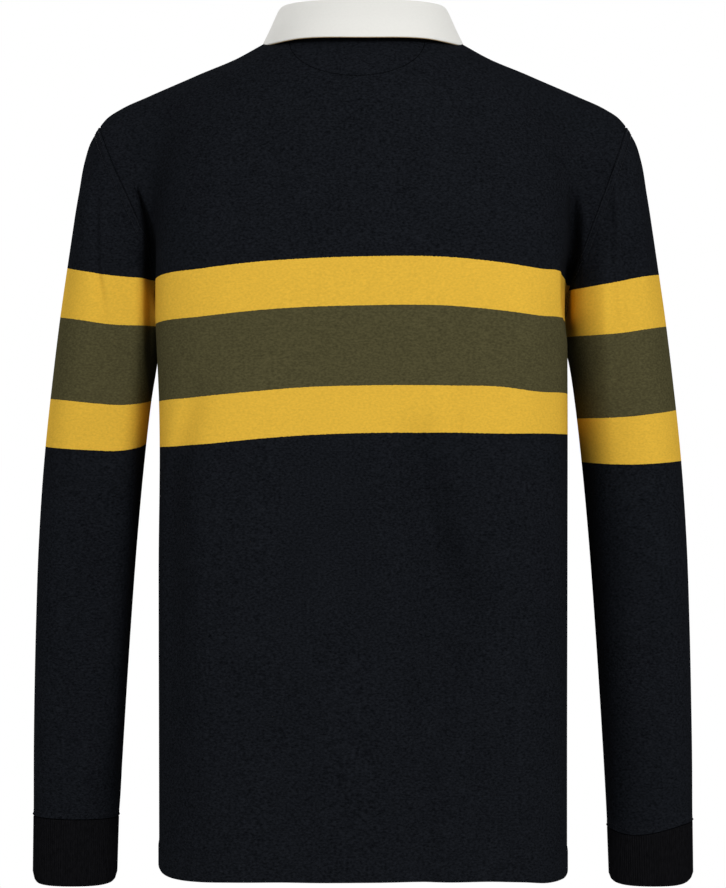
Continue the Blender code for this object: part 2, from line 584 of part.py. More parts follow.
def make_collar():
    end = 1 - COLLAR_FRONT_GAP / 2 / (math.pi * NECK_HALF_WIDTH)
    shares = np.linspace(-end, end, COLLAR_AROUND + 1)
    return cloth("collar", collar(shares, np.array(COLLAR_STEPS)), COLLAR_CLOTH, "ecru_twill")


def make_placket():
    """The placket's two bands, closed: the upper one outside the front and the under one inside it."""
    top = 1 - PLACKET_TOP_GAP / PANEL_RISE
    heights = np.linspace(height_at("front", PLACKET_LENGTH), top, PLACKET_ROWS + 1)
    lift = JERSEY / 2 + SEAM_GAP + TWILL / 2
    half = PLACKET_UPPER_WIDTH / 2
    cloth("placket_upper", strip("front", (-half, 0, half), heights, lift), TWILL, "ecru_twill")
    half = PLACKET_UNDER_WIDTH / 2
    cloth("placket_under", strip("front", (-half, 0, half), heights, -lift), TWILL, "ecru_twill")


def make_buttons():
    """Three round rubber buttons down the placket."""
    lift = JERSEY / 2 + SEAM_GAP + TWILL + SEAM_GAP + BUTTON_THICKNESS / 2
    for number, drop in enumerate(BUTTON_DROPS, 1):
        height = height_at("front", drop)
        near = height + np.array([-1, 0, 1]) * BUTTON_PATCH_HEIGHT
        patch = strip("front", (-BUTTON_PATCH, 0, BUTTON_PATCH), near, 0)
        outward = normals(patch)[1, 1]
        mesh = bpy.data.meshes.new("button_%d" % number)
        disc = bmesh.new()
        bmesh.ops.create_cone(
            disc,
            cap_ends=True,
            segments=BUTTON_SEGMENTS,
            radius1=BUTTON_RADIUS,
            radius2=BUTTON_RADIUS,
            depth=BUTTON_THICKNESS,
        )
        disc.to_mesh(mesh)
        disc.free()
        button = place("button_%d" % number, mesh, "ecru_rubber")
        button.location = Vector(patch[1, 1] + outward * lift)
        button.rotation_euler = Vector(outward).to_track_quat("Z", "Y").to_euler()
        edge = button.modifiers.new("edge", "BEVEL")
        edge.width = BUTTON_BEVEL
        edge.segments = 1
        edge.limit_method = "ANGLE"


def main():
    for old in list(bpy.data.objects):
        bpy.data.objects.remove(old)
    bpy.context.scene.collection.children.link(bpy.data.collections.new("rugby_shirt"))
    make_back()
    make_front()
    for row in SLEEVE_SIDES:
        make_sleeve(row)
        make_cuff(row)
    make_collar()
    make_placket()
    make_buttons()
    make_neck_patch()


main()
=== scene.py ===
# %% [markdown]
# # A long-sleeved rugby shirt, seen from behind
#
# The shirt is filled out as if somebody wore it, but it is empty: neck, hem and cuffs are open. Its body and
# sleeves are navy jersey with one yellow, olive and yellow stripe, the collar is off-white twill and the
# cuffs are black rib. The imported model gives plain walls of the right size. Here every wall becomes cloth.
#
# The front faces -Y, the back +Y, the wearer's left is +X, and all sizes are metres.

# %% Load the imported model
import math
from collections import namedtuple

import bpy
import numpy as np
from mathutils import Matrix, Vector
from mathutils.bvhtree import BVHTree


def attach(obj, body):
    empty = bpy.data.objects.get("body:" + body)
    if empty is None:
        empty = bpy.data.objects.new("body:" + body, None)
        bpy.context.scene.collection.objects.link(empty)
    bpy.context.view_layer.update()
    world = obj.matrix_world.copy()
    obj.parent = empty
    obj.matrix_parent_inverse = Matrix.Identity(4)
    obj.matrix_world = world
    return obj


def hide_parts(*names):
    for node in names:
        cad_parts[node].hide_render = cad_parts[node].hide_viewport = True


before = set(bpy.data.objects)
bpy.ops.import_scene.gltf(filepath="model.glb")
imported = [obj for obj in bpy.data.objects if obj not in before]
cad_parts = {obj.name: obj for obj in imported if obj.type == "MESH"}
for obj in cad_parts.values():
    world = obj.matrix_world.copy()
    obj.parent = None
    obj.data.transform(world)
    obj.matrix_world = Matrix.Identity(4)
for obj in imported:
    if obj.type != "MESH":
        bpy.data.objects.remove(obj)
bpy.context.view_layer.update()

# %% [markdown]
# ## The cut
#
# A shirt is two body panels, two sleeves, two cuffs, a collar and a placket. The body and sleeves are
# described by level sections, a few sizes each, and a smooth curve runs through them. They keep within a few
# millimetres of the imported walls, which have rounder corners and fewer, softer folds.

# %% Sizes of the cut
JERSEY = 0.0016  # heavy single jersey
TWILL = 0.0013  # one band of the placket
COLLAR_CLOTH = 0.0020
PATCH_CLOTH = 0.0010

ARMPIT_Z = -0.2390
SHOULDER_TIP = (0.2325, -0.0040, -0.0708)
NECK_HALF_WIDTH = 0.0780
NECK_BACK_Y, NECK_FRONT_Y = 0.0700, -0.0820
NECK_BACK_Z, NECK_SIDE_Z, NECK_FRONT_Z = 0.0015, 0.0035, -0.0700
NECK_FRONT_SCOOP = 1.7
NECK_SHARE = 0.405  # of a panel's half, the part that ends on the neck seam
ARRIVAL_LEAN = {"back": 14.0, "front": 26.0}  # degrees short of level as a panel reaches the neck seam
EDGE_PULL = 5  # how fast the armhole's pull on a panel fades towards the middle
BOW_REACH = 0.10  # share of a sleeve's length over which the bow of its armhole seam fades
QUARTER = math.pi / 2

BodySection = namedtuple("BodySection", "z left right back front square")
BODY_SECTIONS = (
    BodySection(z=-0.7235, left=0.1776, right=0.1778, back=0.1290, front=0.1230, square=2.5),
    BodySection(z=-0.6200, left=0.1778, right=0.1778, back=0.1290, front=0.1235, square=2.5),
    BodySection(z=-0.4600, left=0.1778, right=0.1778, back=0.1280, front=0.1250, square=2.8),
    BodySection(z=-0.3100, left=0.1772, right=0.1776, back=0.1275, front=0.1255, square=3.0),
    BodySection(z=-0.2390, left=0.1810, right=0.1774, back=0.1270, front=0.1250, square=2.8),
)
SHOULDER_RIDGE = (
    (NECK_HALF_WIDTH, NECK_SIDE_Z),
    (0.0990, -0.0082),
    (0.1400, -0.0244),
    (0.1900, -0.0446),
    (0.2130, -0.0548),
    (0.2262, -0.0634),
    (SHOULDER_TIP[0], SHOULDER_TIP[2]),
)
SleeveRing = namedtuple("SleeveRing", "outer_x outer_z inner_x inner_z middle_y back front")
SLEEVE_RINGS = (
    SleeveRing(0.2325, -0.0708, 0.1800, -0.2390, -0.004, 0.052, 0.056),
    SleeveRing(0.2413, -0.0867, 0.1811, -0.2393, -0.0045, 0.055, 0.059),
    SleeveRing(0.2454, -0.1005, 0.1822, -0.2396, -0.005, 0.058, 0.062),
    SleeveRing(0.2503, -0.1300, 0.1820, -0.2430, -0.006, 0.063, 0.066),
    SleeveRing(0.2553, -0.1630, 0.1817, -0.2520, -0.007, 0.066, 0.069),
    SleeveRing(0.2601, -0.1950, 0.1815, -0.2640, -0.008, 0.067, 0.070),
    SleeveRing(0.2660, -0.2350, 0.1838, -0.2800, -0.009, 0.066, 0.070),
    SleeveRing(0.2744, -0.3020, 0.1893, -0.3160, -0.010, 0.062, 0.068),
    SleeveRing(0.2812, -0.3650, 0.1955, -0.3700, -0.012, 0.058, 0.064),
    SleeveRing(0.2863, -0.4360, 0.2018, -0.4380, -0.014, 0.054, 0.060),
    SleeveRing(0.2893, -0.5100, 0.2074, -0.5110, -0.017, 0.050, 0.055),
    SleeveRing(0.2914, -0.5900, 0.2127, -0.5900, -0.020, 0.045, 0.048),
    SleeveRing(0.2925, -0.6420, 0.2158, -0.6400, -0.022, 0.041, 0.042),
    SleeveRing(0.2928, -0.6700, 0.2174, -0.6680, -0.023, 0.037, 0.038),
    SleeveRing(0.2929, -0.6850, 0.2186, -0.6840, -0.023, 0.033, 0.034),
)
# bow: of the armhole seam; square, outer: how square a corner the sleeve has behind, beside the back and away
# from it; sag: of the cuff's seam
SleeveSide = namedtuple("SleeveSide", "name side armpit_x bow square outer sag cuff_outer_z cuff_inner_z")
SLEEVE_SIDES = (
    SleeveSide(
        name="left", side=1, armpit_x=0.1810, bow=-0.0211, square=3.0, outer=1.7,
        sag=0.0002, cuff_outer_z=-0.6819, cuff_inner_z=-0.6826,
    ),
    SleeveSide(
        name="right", side=-1, armpit_x=0.1774, bow=-0.0065, square=1.1, outer=1.3,
        sag=0.0052, cuff_outer_z=-0.6868, cuff_inner_z=-0.6922,
    ),
)
LEFT_ARMPIT_X = SLEEVE_SIDES[0].armpit_x  # the rings' inner line is the left sleeve's
ARMPIT_FADE = (1.0, 1.0, 0.9, 0.7, 0.4)  # how far each ring under the armhole follows its own side's armpit
SQUARE_FROM, SQUARE_TO = (0.02, 0.09), (0.80, 0.99)  # shares of a sleeve where its corner starts and ends
SAG_FROM, SAG_LEAN = 0.88, 0.9  # the share where the sag starts, and how much more of it is on the inner side
print(len(BODY_SECTIONS), "body sections,", len(SLEEVE_RINGS), "sleeve rings")


# %% A smooth curve through a table
def through(knots, values, at):
    """A smooth curve through values at knots: between two knots a cubic, sloped by their neighbours."""
    knots, values, at = (np.asarray(a, float) for a in (knots, values, at))
    slopes = np.gradient(values, knots, axis=0)
    i = np.clip(np.searchsorted(knots, at, side="right") - 1, 0, len(knots) - 2)
    span = knots[i + 1] - knots[i]
    t = (at - knots[i]) / span
    if values.ndim > 1:
        t, span = t[..., None], span[..., None]
    rise = t * t * (3 - 2 * t)
    bend = slopes[i] * t * (1 - t) ** 2 - slopes[i + 1] * t * t * (1 - t)
    return values[i] * (1 - rise) + values[i + 1] * rise + span * bend


def column(table, name):
    """One named column of a table."""
    return np.array([row._asdict()[name] for row in table])


def smooth(t):
    """From 0 to 1 with level ends: 3 t^2 - 2 t^3."""
    t = np.clip(t, 0, 1)
    return t * t * (3 - 2 * t)


def spaced(start, *stops):
    """Values from the start through every stop, each given with how many steps lead to it."""
    parts = [[start]]
    for stop, steps in stops:
        parts.append(np.linspace(parts[-1][-1], stop, steps + 1)[1:])
    return np.concatenate(parts)


def lengths(points):
    """The distance run along each column of a grid, from its first row."""
    steps = np.linalg.norm(np.diff(points, axis=0), axis=-1)
    return np.concatenate([np.zeros_like(steps[:1]), np.cumsum(steps, axis=0)])


def widths(points):
    """The distance run along each row of a grid, from its first column."""
    return lengths(points.transpose(1, 0, 2)).T


def to_sides(points):
    """The distance of a grid's points from the nearer of its first and last columns, along the rows."""
    run = widths(points)
    return np.minimum(run, run[:, -1:] - run)


outside = through(-column(SLEEVE_RINGS, "outer_z"), column(SLEEVE_RINGS, "outer_x"), 0.5)
print("half a metre down, the shirt is", round(2 * float(outside), 3), "m wide over the sleeves")

# %% [markdown]
# ## The body's surface
#
# A chest isn't an ellipse: its back and front are nearly flat and its corners turn fast. So a section's
# *heading* swings from straight across to straight along as an S-shaped curve of the length run, and the
# section is the sum of all the small steps in those headings. Above the armpits, every column of the panel
# leans inwards along part of an ellipse until it reaches the shoulder or the neck.


# %% Level sections of the body
def unit_section(square, share):
    """A quarter section, 1 across and 1 deep: the heading at each step is 90 degrees times s^p / (s^p +
    (1-s)^p), and the place is the running sum of the heading's cosine and sine."""
    steps = np.linspace(0, 1, 257)
    power = np.asarray(square, float)[..., None]
    heading = QUARTER * steps**power / (steps**power + (1 - steps) ** power)
    runs = []
    for part in (np.cos(heading), np.sin(heading)):
        total = np.cumsum(part[..., 1:] + part[..., :-1], -1)
        run = np.concatenate([np.zeros_like(part[..., :1]), total], -1)
        runs.append(run / run[..., -1:])
    place = np.clip(share, 0, 1) * (len(steps) - 1)
    low = np.minimum(place.astype(int), len(steps) - 2)
    pick = lambda run, at: np.take_along_axis(run, at, -1)
    across, along = (pick(run, low) * (1 - place + low) + pick(run, low + 1) * (place - low) for run in runs)
    return across, 1 - along


def body_section(z, shares, face):
    """One face of the body: at each height z a row of points, from share -1, its right, to 1, its left."""
    levels = column(BODY_SECTIONS, "z")
    size = {name: through(levels, column(BODY_SECTIONS, name), z) for name in BodySection._fields}
    across, along = unit_section(size["square"], np.abs(shares))
    half_width = np.where(shares > 0, size["left"][:, None], size["right"][:, None])
    toward = 1 if face == "back" else -1
    y = toward * size[face][:, None] * along
    return np.stack([np.sign(shares) * half_width * across, y, np.broadcast_to(z[:, None], y.shape)], -1)


across = np.linspace(-1, 1, 201)[None]
chest = [body_section(np.array([ARMPIT_Z]), across, face) for face in ("back", "front")]
print("round the chest", round(sum(float(widths(half)[0, -1]) for half in chest), 3), "m")

# %% The neck seam and the shoulder seams
def neck_seam(turn):
    """The neck seam: an ellipse seen from above, lower in front. The turn is 0 behind and pi in front."""
    out, back = np.abs(np.sin(turn)), np.cos(turn)
    y = np.where(back > 0, NECK_BACK_Y * back, -NECK_FRONT_Y * back)
    z_back = NECK_BACK_Z + (NECK_SIDE_Z - NECK_BACK_Z) * out**2
    z_front = NECK_SIDE_Z + (NECK_FRONT_Z - NECK_SIDE_Z) * np.abs(back) ** NECK_FRONT_SCOOP
    return np.stack([NECK_HALF_WIDTH * np.sin(turn), y, np.where(back > 0, z_back, z_front)], -1)


def top_edge(shares, face):
    """A panel's top edge: the neck seam for the inner shares, then the shoulder's ridge."""
    size = np.abs(shares)
    turn = QUARTER * np.clip(size / NECK_SHARE, 0, 1)
    neck = neck_seam(turn if face == "back" else math.pi - turn)
    ridge = np.array(SHOULDER_RIDGE)
    steps = np.concatenate([[0], np.cumsum(np.hypot(*np.diff(ridge, axis=0).T))])
    along = np.clip((size - NECK_SHARE) / (1 - NECK_SHARE), 0, 1)
    ridge = through(steps / steps[-1], ridge, along)
    shoulder = np.stack([ridge[..., 0], SHOULDER_TIP[1] * along, ridge[..., 1]], -1)
    points = np.where((size > NECK_SHARE)[..., None], shoulder, neck)
    return points * np.stack([np.where(shares < 0, -1, 1), np.ones_like(size), np.ones_like(size)], -1)


print("neck seam", round(2 * NECK_HALF_WIDTH, 3), "by", round(NECK_BACK_Y - NECK_FRONT_Y, 3), "m")

# %% A sleeve's rings
def sleeve_surface(row, shares, turns):
    """A sleeve: rings between an outer and an inner line. The turn is 0 on the outer line and pi on the inner
    one. The half in front is half an ellipse, and the two quarters behind are quarter sections like the
    body's, from round, 1, to the side's own square and outer. The armhole bows by sin squared of the turn."""
    rings = np.array(SLEEVE_RINGS)
    rings[0, 2] = row.armpit_x
    rings[1 : 1 + len(ARMPIT_FADE), 2] += (row.armpit_x - LEFT_ARMPIT_X) * np.array(ARMPIT_FADE)
    rings[-1, [1, 3]] = row.cuff_outer_z, row.cuff_inner_z
    middles = (rings[:, 0:2] + rings[:, 2:4]) / 2
    steps = np.concatenate([[0], np.cumsum(np.hypot(*np.diff(middles, axis=0).T))])
    ring = through(steps / steps[-1], rings, shares)[:, None, :]
    ring = np.broadcast_to(ring, (len(shares), len(turns), rings.shape[1]))
    corner = smooth((shares - SQUARE_FROM[0]) / (SQUARE_FROM[1] - SQUARE_FROM[0]))
    corner *= 1 - smooth((shares - SQUARE_TO[0]) / (SQUARE_TO[1] - SQUARE_TO[0]))
    behind = np.sin(turns) > 0
    into = np.arctan2(np.abs(np.cos(turns)), np.abs(np.sin(turns))) / QUARTER
    into = np.broadcast_to(into, ring.shape[:2])
    beside, away = (unit_section(1 + (square - 1) * corner, into) for square in (row.square, row.outer))
    square_across, square_along = np.where(np.cos(turns) < 0, beside, away)
    across = np.where(behind, np.sign(np.cos(turns)) * square_across, np.cos(turns))
    along = np.where(behind, square_along, np.sin(turns))
    lean = (1 - across) / 2
    bow = row.bow * np.sin(turns) ** 2 * lean * np.exp(-((shares / BOW_REACH) ** 2))[:, None]
    x = ring[..., 0] * (1 - lean) + ring[..., 2] * lean + bow
    z = ring[..., 1] * (1 - lean) + ring[..., 3] * lean
    sag = row.sag * np.clip(np.sin(turns), 0, 1) ** 2 * (1 - SAG_LEAN * np.cos(turns))
    z = z - sag * smooth((shares - SAG_FROM) / (1 - SAG_FROM))[:, None]
    depth = np.where(behind, ring[..., 5], ring[..., 6])
    return np.stack([row.side * x, ring[..., 4] + depth * along, z], -1)


for row in SLEEVE_SIDES:
    outer_line = sleeve_surface(row, np.linspace(0, 1, 41), np.zeros(1))
    print(row.name, "sleeve", round(float(lengths(outer_line)[-1, 0]), 3), "m down its outer line")

# %% A body panel
def panel_surface(face, shares, heights):
    """A panel: rows at heights -1, the hem, to 0, the armpits, and 1, the shoulder and neck seams. Above the
    armpits each column is part of an ellipse, pulled onto the armhole by the share to the power EDGE_PULL."""
    shares = np.broadcast_to(shares, (len(heights), np.shape(shares)[-1]))
    low = body_section(ARMPIT_Z + (ARMPIT_Z - BODY_SECTIONS[0].z) * np.minimum(heights, 0), shares, face)
    top = top_edge(shares, face)
    rise = np.clip(heights, 0, 1)[:, None]
    lean = ARRIVAL_LEAN[face] * np.clip(1 - (shares / NECK_SHARE) ** 2, 0, 1)
    arrive = np.radians(90 - lean)
    forward = (1 - np.cos(rise * arrive)) / (1 - np.cos(arrive))
    upward = np.sin(rise * arrive) / np.sin(arrive)
    points = low + (top - low) * np.stack([forward, forward, upward], -1)
    sides = np.array([-1.0, 1.0])
    ends = np.broadcast_to(sides, (len(heights), 2))
    side_low, side_top = body_section(np.full(len(heights), ARMPIT_Z), ends, face), top_edge(ends, face)
    swing = rise * QUARTER
    curve = np.stack([1 - np.cos(swing), 1 - np.cos(swing), np.sin(swing)], -1)
    plain = side_low + (side_top - side_low) * curve
    around = math.pi * (1 - rise[:, 0] if face == "back" else 1 + rise[:, 0])
    left, right = (sleeve_surface(row, np.zeros(1), around)[0] for row in SLEEVE_SIDES)
    pull = np.where((shares < 0)[..., None], (right - plain[:, 0])[:, None], (left - plain[:, 1])[:, None])
    return points + pull * (np.abs(shares) ** EDGE_PULL * (rise > 0))[..., None]


def normals(points, outwards):
    """The unit normal of a grid: the direction across its columns times the direction up its rows."""
    normal = np.cross(np.gradient(points, axis=1), np.gradient(points, axis=0)) * outwards
    return normal / np.maximum(np.linalg.norm(normal, axis=-1, keepdims=True), 1e-12)


middle = panel_surface("back", np.zeros(1), np.linspace(-1, 1, 81))
print("middle of the back", round(float(lengths(middle)[-1, 0]), 3), "m")

# %% [markdown]
# ## Folds
#
# The cloth is smooth, so its folds are few, soft and uneven. Each is a line on one face of a piece, seen
# square on, with a depth and two widths, one towards the shirt's middle and one away from it, at every point.
# Where the two differ, one wall is steeper: there the back turns over the armhole, and the trough beside it
# lies in shade. A ridge is a trough of negative depth. Folds are pressed straight in along Y, not along the
# cloth's own normal, so that they stay where they are placed even where the cloth already turns away.

# %% Folds placed one by one: the back
# a fold's points are x, z, inner width, outer width and depth, in millimetres; steep: of its walls, 2 is soft
Fold = namedtuple("Fold", "pieces face steep points", defaults=(2, ()))
BACK_FOLDS = (
    # the back turns over the left armhole: a narrow steep-sided trough that starts with a short hook, crosses
    # the seam and runs on down the sleeve's side, and the square corner that the back keeps beside it
    Fold("body left", "back", steep=4, points=(
        (203, -131.2, 1.4, 1.6, 0.6), (195.7, -130.8, 1.6, 2, 5), (192.3, -142.1, 2.1, 2.6, 10),
        (189.2, -152.5, 3.1, 3.6, 15), (186.7, -163.8, 4.2, 4.4, 18), (185.2, -176, 4.8, 4.9, 20),
        (184.9, -226.3, 4.7, 4.9, 21), (184.7, -265.4, 4.9, 4.9, 18), (184.2, -288.8, 4.5, 4.3, 16),
        (184.6, -300, 4, 3.1, 13), (185.6, -313, 3, 2, 8), (186.6, -326, 2.4, 1.6, 3),
    )),
    Fold("body", "back", points=(
        (174, -150, 9, 5, -0.4), (174.5, -185, 10, 5, -2.6), (174.5, -280, 10, 4.5, -2.6),
        (174, -360, 10, 5, -0.4),
    )),
    # the same over the right armhole, softer towards the sleeve, with a narrow ridge that leans over it
    Fold("body right", "back", steep=4, points=(
        (-180.6, -124, 2.2, 4.5, 0.6), (-180.6, -139.5, 3, 7.2, 7), (-181, -152.5, 3.6, 8.6, 12.5),
        (-182.7, -163.8, 5.2, 7.2, 15.5), (-184.5, -174.3, 6.8, 5.6, 17), (-183.6, -187.3, 8.8, 6.2, 18),
        (-181.2, -200.3, 9.4, 8, 8), (-180.5, -211, 8, 8, 1),
    )),
    Fold("body right", "back", steep=8, points=(
        (-179, -188, 9, 8.5, 1), (-177.5, -198, 7.4, 8.5, 20), (-176.2, -212, 6.2, 8, 31),
        (-176, -228, 6, 7.5, 33), (-176.8, -239.8, 5.2, 7, 32), (-178.2, -248.4, 4.5, 7, 22),
        (-179.5, -259, 3.5, 6, 8), (-180.5, -270, 3, 6, 1),
    )),
    Fold("body", "back", points=(
        (-173.5, -115, 5, 2.6, -0.3), (-174.8, -139.5, 4.6, 2, -1.6), (-175.8, -160, 4.6, 1.8, -2.6),
        (-175.2, -178, 5, 2, -2.4), (-172.5, -193, 6, 2.4, -1.6), (-171.5, -210, 7, 3, -1),
    )),
    Fold("body", "back", points=(
        (-173.5, -215, 9, 4.5, -0.6), (-174.2, -260, 10, 4.5, -2.6), (-174.2, -320, 10, 4.5, -2),
        (-174, -390, 10, 5, -0.4),
    )),
    # long soft folds down the back
    Fold("body", "back", points=(
        (141, -288, 11, 9, 0.6), (144, -312, 11, 9, 5), (149, -330, 11, 9, 7.5), (159, -365, 12, 9, 10),
        (163, -395, 12, 9, 13.5), (163.5, -490, 12, 9, 14), (164, -570, 17, 9, 9), (164, -640, 20, 9, 7),
        (164, -720, 20, 10, 3),
    )),
    Fold("body", "back", points=(
        (136, -350, 14, 11, -0.4), (136, -420, 14, 11, -2.2), (138, -530, 14, 11, -1.6),
        (133, -660, 14, 11, -1.2),
    )),
    Fold("body", "back", points=(
        (64, -530, 20, 20, 0.4), (66, -620, 22, 24, 5.2), (68, -730, 24, 26, 4.6),
    )),
    Fold("body", "back", points=(
        (-48, -325, 21, 18, 0.8), (-50, -375, 23, 19, 15), (-58, -430, 25, 22, 18),
        (-68, -490, 28, 38, 22), (-64, -560, 27, 28, 16), (-52, -620, 24, 15, 7.6), (-50, -720, 22, 15, 4),
    )),
    Fold("body", "back", points=(
        (-112, -550, 20, 20, 0.8), (-108, -620, 23, 18, 8), (-108, -720, 24, 19, 6.4),
    )),
    Fold("body", "back", points=(
        (-128, -200, 17, 20, -0.6), (-133, -230, 18, 20, -4), (-138, -270, 18, 20, -8.5),
        (-136, -305, 17, 20, -6), (-133, -350, 16, 20, -3), (-130, -440, 16, 20, -0.6),
    )),
    Fold("body", "back", points=(
        (-86, -230, 9, 12, 0.5), (-80, -290, 9, 12, 2), (-76, -340, 10, 13, 3.4), (-74, -390, 11, 13, 1),
    )),
    # over the shoulder blades, where the cloth hangs from the seams
    Fold("body", "back", points=(
        (98, -55, 18, 20, 0.4), (108, -115, 18, 20, 1.6), (106, -180, 20, 22, 0.4),
    )),
    Fold("body", "back", points=(
        (-85, -60, 20, 20, 0.4), (-96, -115, 20, 22, 1.4), (-98, -175, 22, 24, 0.4),
    )),
)
print(len(BACK_FOLDS), "folds in the back")

# %% Folds placed one by one: the front
FRONT_FOLDS = (
    Fold("body", "front", points=(
        (196, -120, 8, 8, 1), (188, -145, 8, 8, 6), (180, -190, 8, 8, 8), (170, -245, 10, 9, 3),
    )),
    Fold("body", "front", points=(
        (-198, -125, 8, 8, 1), (-190, -150, 8, 8, 6.5), (-178, -195, 9, 8, 7), (-164, -250, 11, 10, 2.4),
    )),
    Fold("body", "front", points=(
        (138, -310, 15, 13, 0.6), (145, -420, 15, 13, 4.2), (148, -560, 16, 15, 3.6),
        (151, -670, 18, 17, 1),
    )),
    Fold("body", "front", points=(
        (-137, -340, 15, 14, 0.6), (-143, -450, 15, 14, 4), (-147, -600, 17, 15, 3),
        (-148, -690, 18, 17, 0.8),
    )),
    Fold("body", "front", points=(
        (64, -430, 18, 18, 0.6), (61, -560, 18, 18, 2.8), (56, -730, 20, 20, 2.2),
    )),
    Fold("body", "front", points=(
        (-78, -480, 18, 18, 0.6), (-74, -610, 18, 18, 3), (-70, -730, 20, 20, 2.2),
    )),
    Fold("body", "front", points=(
        (12, -240, 14, 14, 2), (16, -300, 18, 18, 1.2), (20, -400, 20, 20, 0.3),
    )),
)
print(len(FRONT_FOLDS), "folds in the front")

# %% Folds placed one by one: the sleeves
SLEEVE_FOLDS = (
    # the left sleeve: one upright crease behind, its square edge beside the body, slanted ones in front
    Fold("left", "back", points=(
        (231.2, -115, 3, 6, 0.3), (230.6, -140, 2.2, 6, 3.2), (230.2, -170, 2, 6, 4.4),
        (229.6, -198, 2.2, 6, 3.6), (226, -225, 3.4, 7, 2.2), (223.5, -255, 4.5, 8, 0.4),
    )),
    Fold("left", "back", points=(
        (197, -190, 5, 10, -0.4), (196.5, -230, 4.5, 11, -2.6), (197, -290, 4.5, 12, -2.6),
        (199.5, -370, 6, 13, -1), (206, -470, 8, 14, -0.3),
    )),
    Fold("left", "back", points=(
        (256, -410, 12, 12, 0.4), (250, -470, 13, 13, 2), (256, -560, 15, 15, 1.2),
        (258, -640, 15, 15, 0.4),
    )),
    Fold("left", "front", points=(
        (210, -190, 12, 12, 1), (225, -250, 11, 11, 4.4), (245, -340, 13, 13, 1),
    )),
    Fold("left", "front", points=(
        (215, -425, 14, 14, 1), (242, -448, 15, 15, 5.5), (270, -472, 15, 15, 2),
    )),
    Fold("left", "front", points=(
        (225, -500, 13, 13, 0.6), (250, -515, 13, 13, 3), (272, -535, 14, 14, 0.8),
    )),
    # the right sleeve: two soft ridges behind, its square edge, and the elbow's folds in front
    Fold("right", "back", points=(
        (-220.5, -98, 4, 2.6, -0.4), (-221, -125, 4, 2, -3), (-221.8, -170, 4, 2, -3.4),
        (-222.2, -215, 4.6, 2.6, -1.8), (-223, -245, 5, 4, -0.3),
    )),
    Fold("right", "back", points=(
        (-243, -130, 4, 2.6, -0.4), (-245.5, -160, 3.6, 2, -2.4), (-246.5, -195, 4, 2.4, -2),
        (-247.5, -225, 5, 4, -0.4),
    )),
    Fold("right", "back", points=(
        (-208, -170, 14, 8, -0.4), (-208.5, -200, 15, 8, -4), (-208.5, -240, 15, 8, -5),
        (-210, -300, 15, 9, -3.6), (-215, -400, 14, 12, -0.8),
    )),
    Fold("right", "back", points=(
        (-260, -430, 13, 13, 0.4), (-248, -500, 13, 13, 1.8), (-255, -620, 15, 15, 0.6),
    )),
    Fold("right", "front", points=(
        (-208, -200, 12, 12, 1), (-224, -265, 11, 11, 4.4), (-240, -355, 13, 13, 1),
    )),
    Fold("right", "front", points=(
        (-213, -415, 14, 14, 1), (-242, -442, 15, 15, 5.5), (-269, -468, 15, 15, 2),
    )),
)
print(len(SLEEVE_FOLDS), "folds in the sleeves")

# %% How deep the folds are
SEAM_HOLD = 110  # how close to a seam the folds run before it holds them flat
HAND_OVER = 0.35  # sine of the turn over which a sleeve's front folds give way to those behind


def off_line(flat, line):
    """Flat points seen from every part of a polyline: how far along the part, 0 to 1, its nearest place is,
    and the way from there to the point."""
    start, run = line[:-1], np.diff(line, axis=0)
    away = flat[..., None, :] - start
    along = np.clip((away * run).sum(-1) / (run * run).sum(-1), 0, 1)
    return along, away - along[..., None] * run


def fold_depth(flat, fold):
    """How far one fold presses the cloth in, at places seen square on: at the nearest point of its line,
    depth * exp(-(distance / width)^steep), with the inner or the outer width."""
    line = np.array(fold.points) / 1000
    along, off = off_line(flat, line[:, :2])
    distance = np.linalg.norm(off, axis=-1)
    nearest = distance.argmin(-1)[..., None]
    pick = lambda values: np.take_along_axis(values, nearest, -1)[..., 0]
    place = nearest[..., 0] + pick(along)
    inner, outer, depth = (np.interp(place, np.arange(len(line)), values) for values in line[:, 2:].T)
    towards_middle = pick(off[..., 0]) * np.sign(line[0, 0]) < 0
    return depth * np.exp(-((pick(distance) / np.where(towards_middle, inner, outer)) ** fold.steep))


def fold_depths(points, piece, face, shared=(False, True)):
    """How far a face's folds press it in. The shared ones, of two pieces, run on over the armhole's seam."""
    pressed = np.zeros(points.shape[:-1])
    for fold in BACK_FOLDS + FRONT_FOLDS + SLEEVE_FOLDS:
        if piece in fold.pieces.split() and face == fold.face and (" " in fold.pieces) in shared:
            pressed += fold_depth(points[..., [0, 2]], fold)
    return pressed


def yielding(turns):
    """How much of the folds is those behind, the rest being the front's, handed over at the sleeve's two
    sides, and how far the place gives way to them: the turn's sine to the power 1/4."""
    return smooth(0.5 + np.sin(turns) / (2 * HAND_OVER)), np.abs(np.sin(turns)) ** 0.25


print("deepest fold", max(point[4] for fold in BACK_FOLDS for point in fold.points), "mm")

# %% Panels and sleeves with their folds
def panel(face, shares, heights):
    """A panel with its folds pressed in, and its normals."""
    points = panel_surface(face, shares, heights)
    outwards = (-1 if face == "back" else 1) * np.sign(np.ravel(shares)[-1] - np.ravel(shares)[0])
    edge = np.abs(np.broadcast_to(shares, points.shape[:2])) ** SEAM_HOLD
    below_top = 1 - np.clip(heights, 0, 1)[:, None] ** SEAM_HOLD
    behind, give = yielding(math.pi * (1 - np.clip(heights, 0, 1)))
    pressed = fold_depths(points, "body", face, (False,)) * (1 - edge)
    pressed += fold_depths(points, "body", face, (True,)) * (1 - edge * (1 - (behind * give)[:, None]))
    points[..., 1] -= (pressed if face == "back" else -pressed) * below_top
    return points, normals(points, outwards)


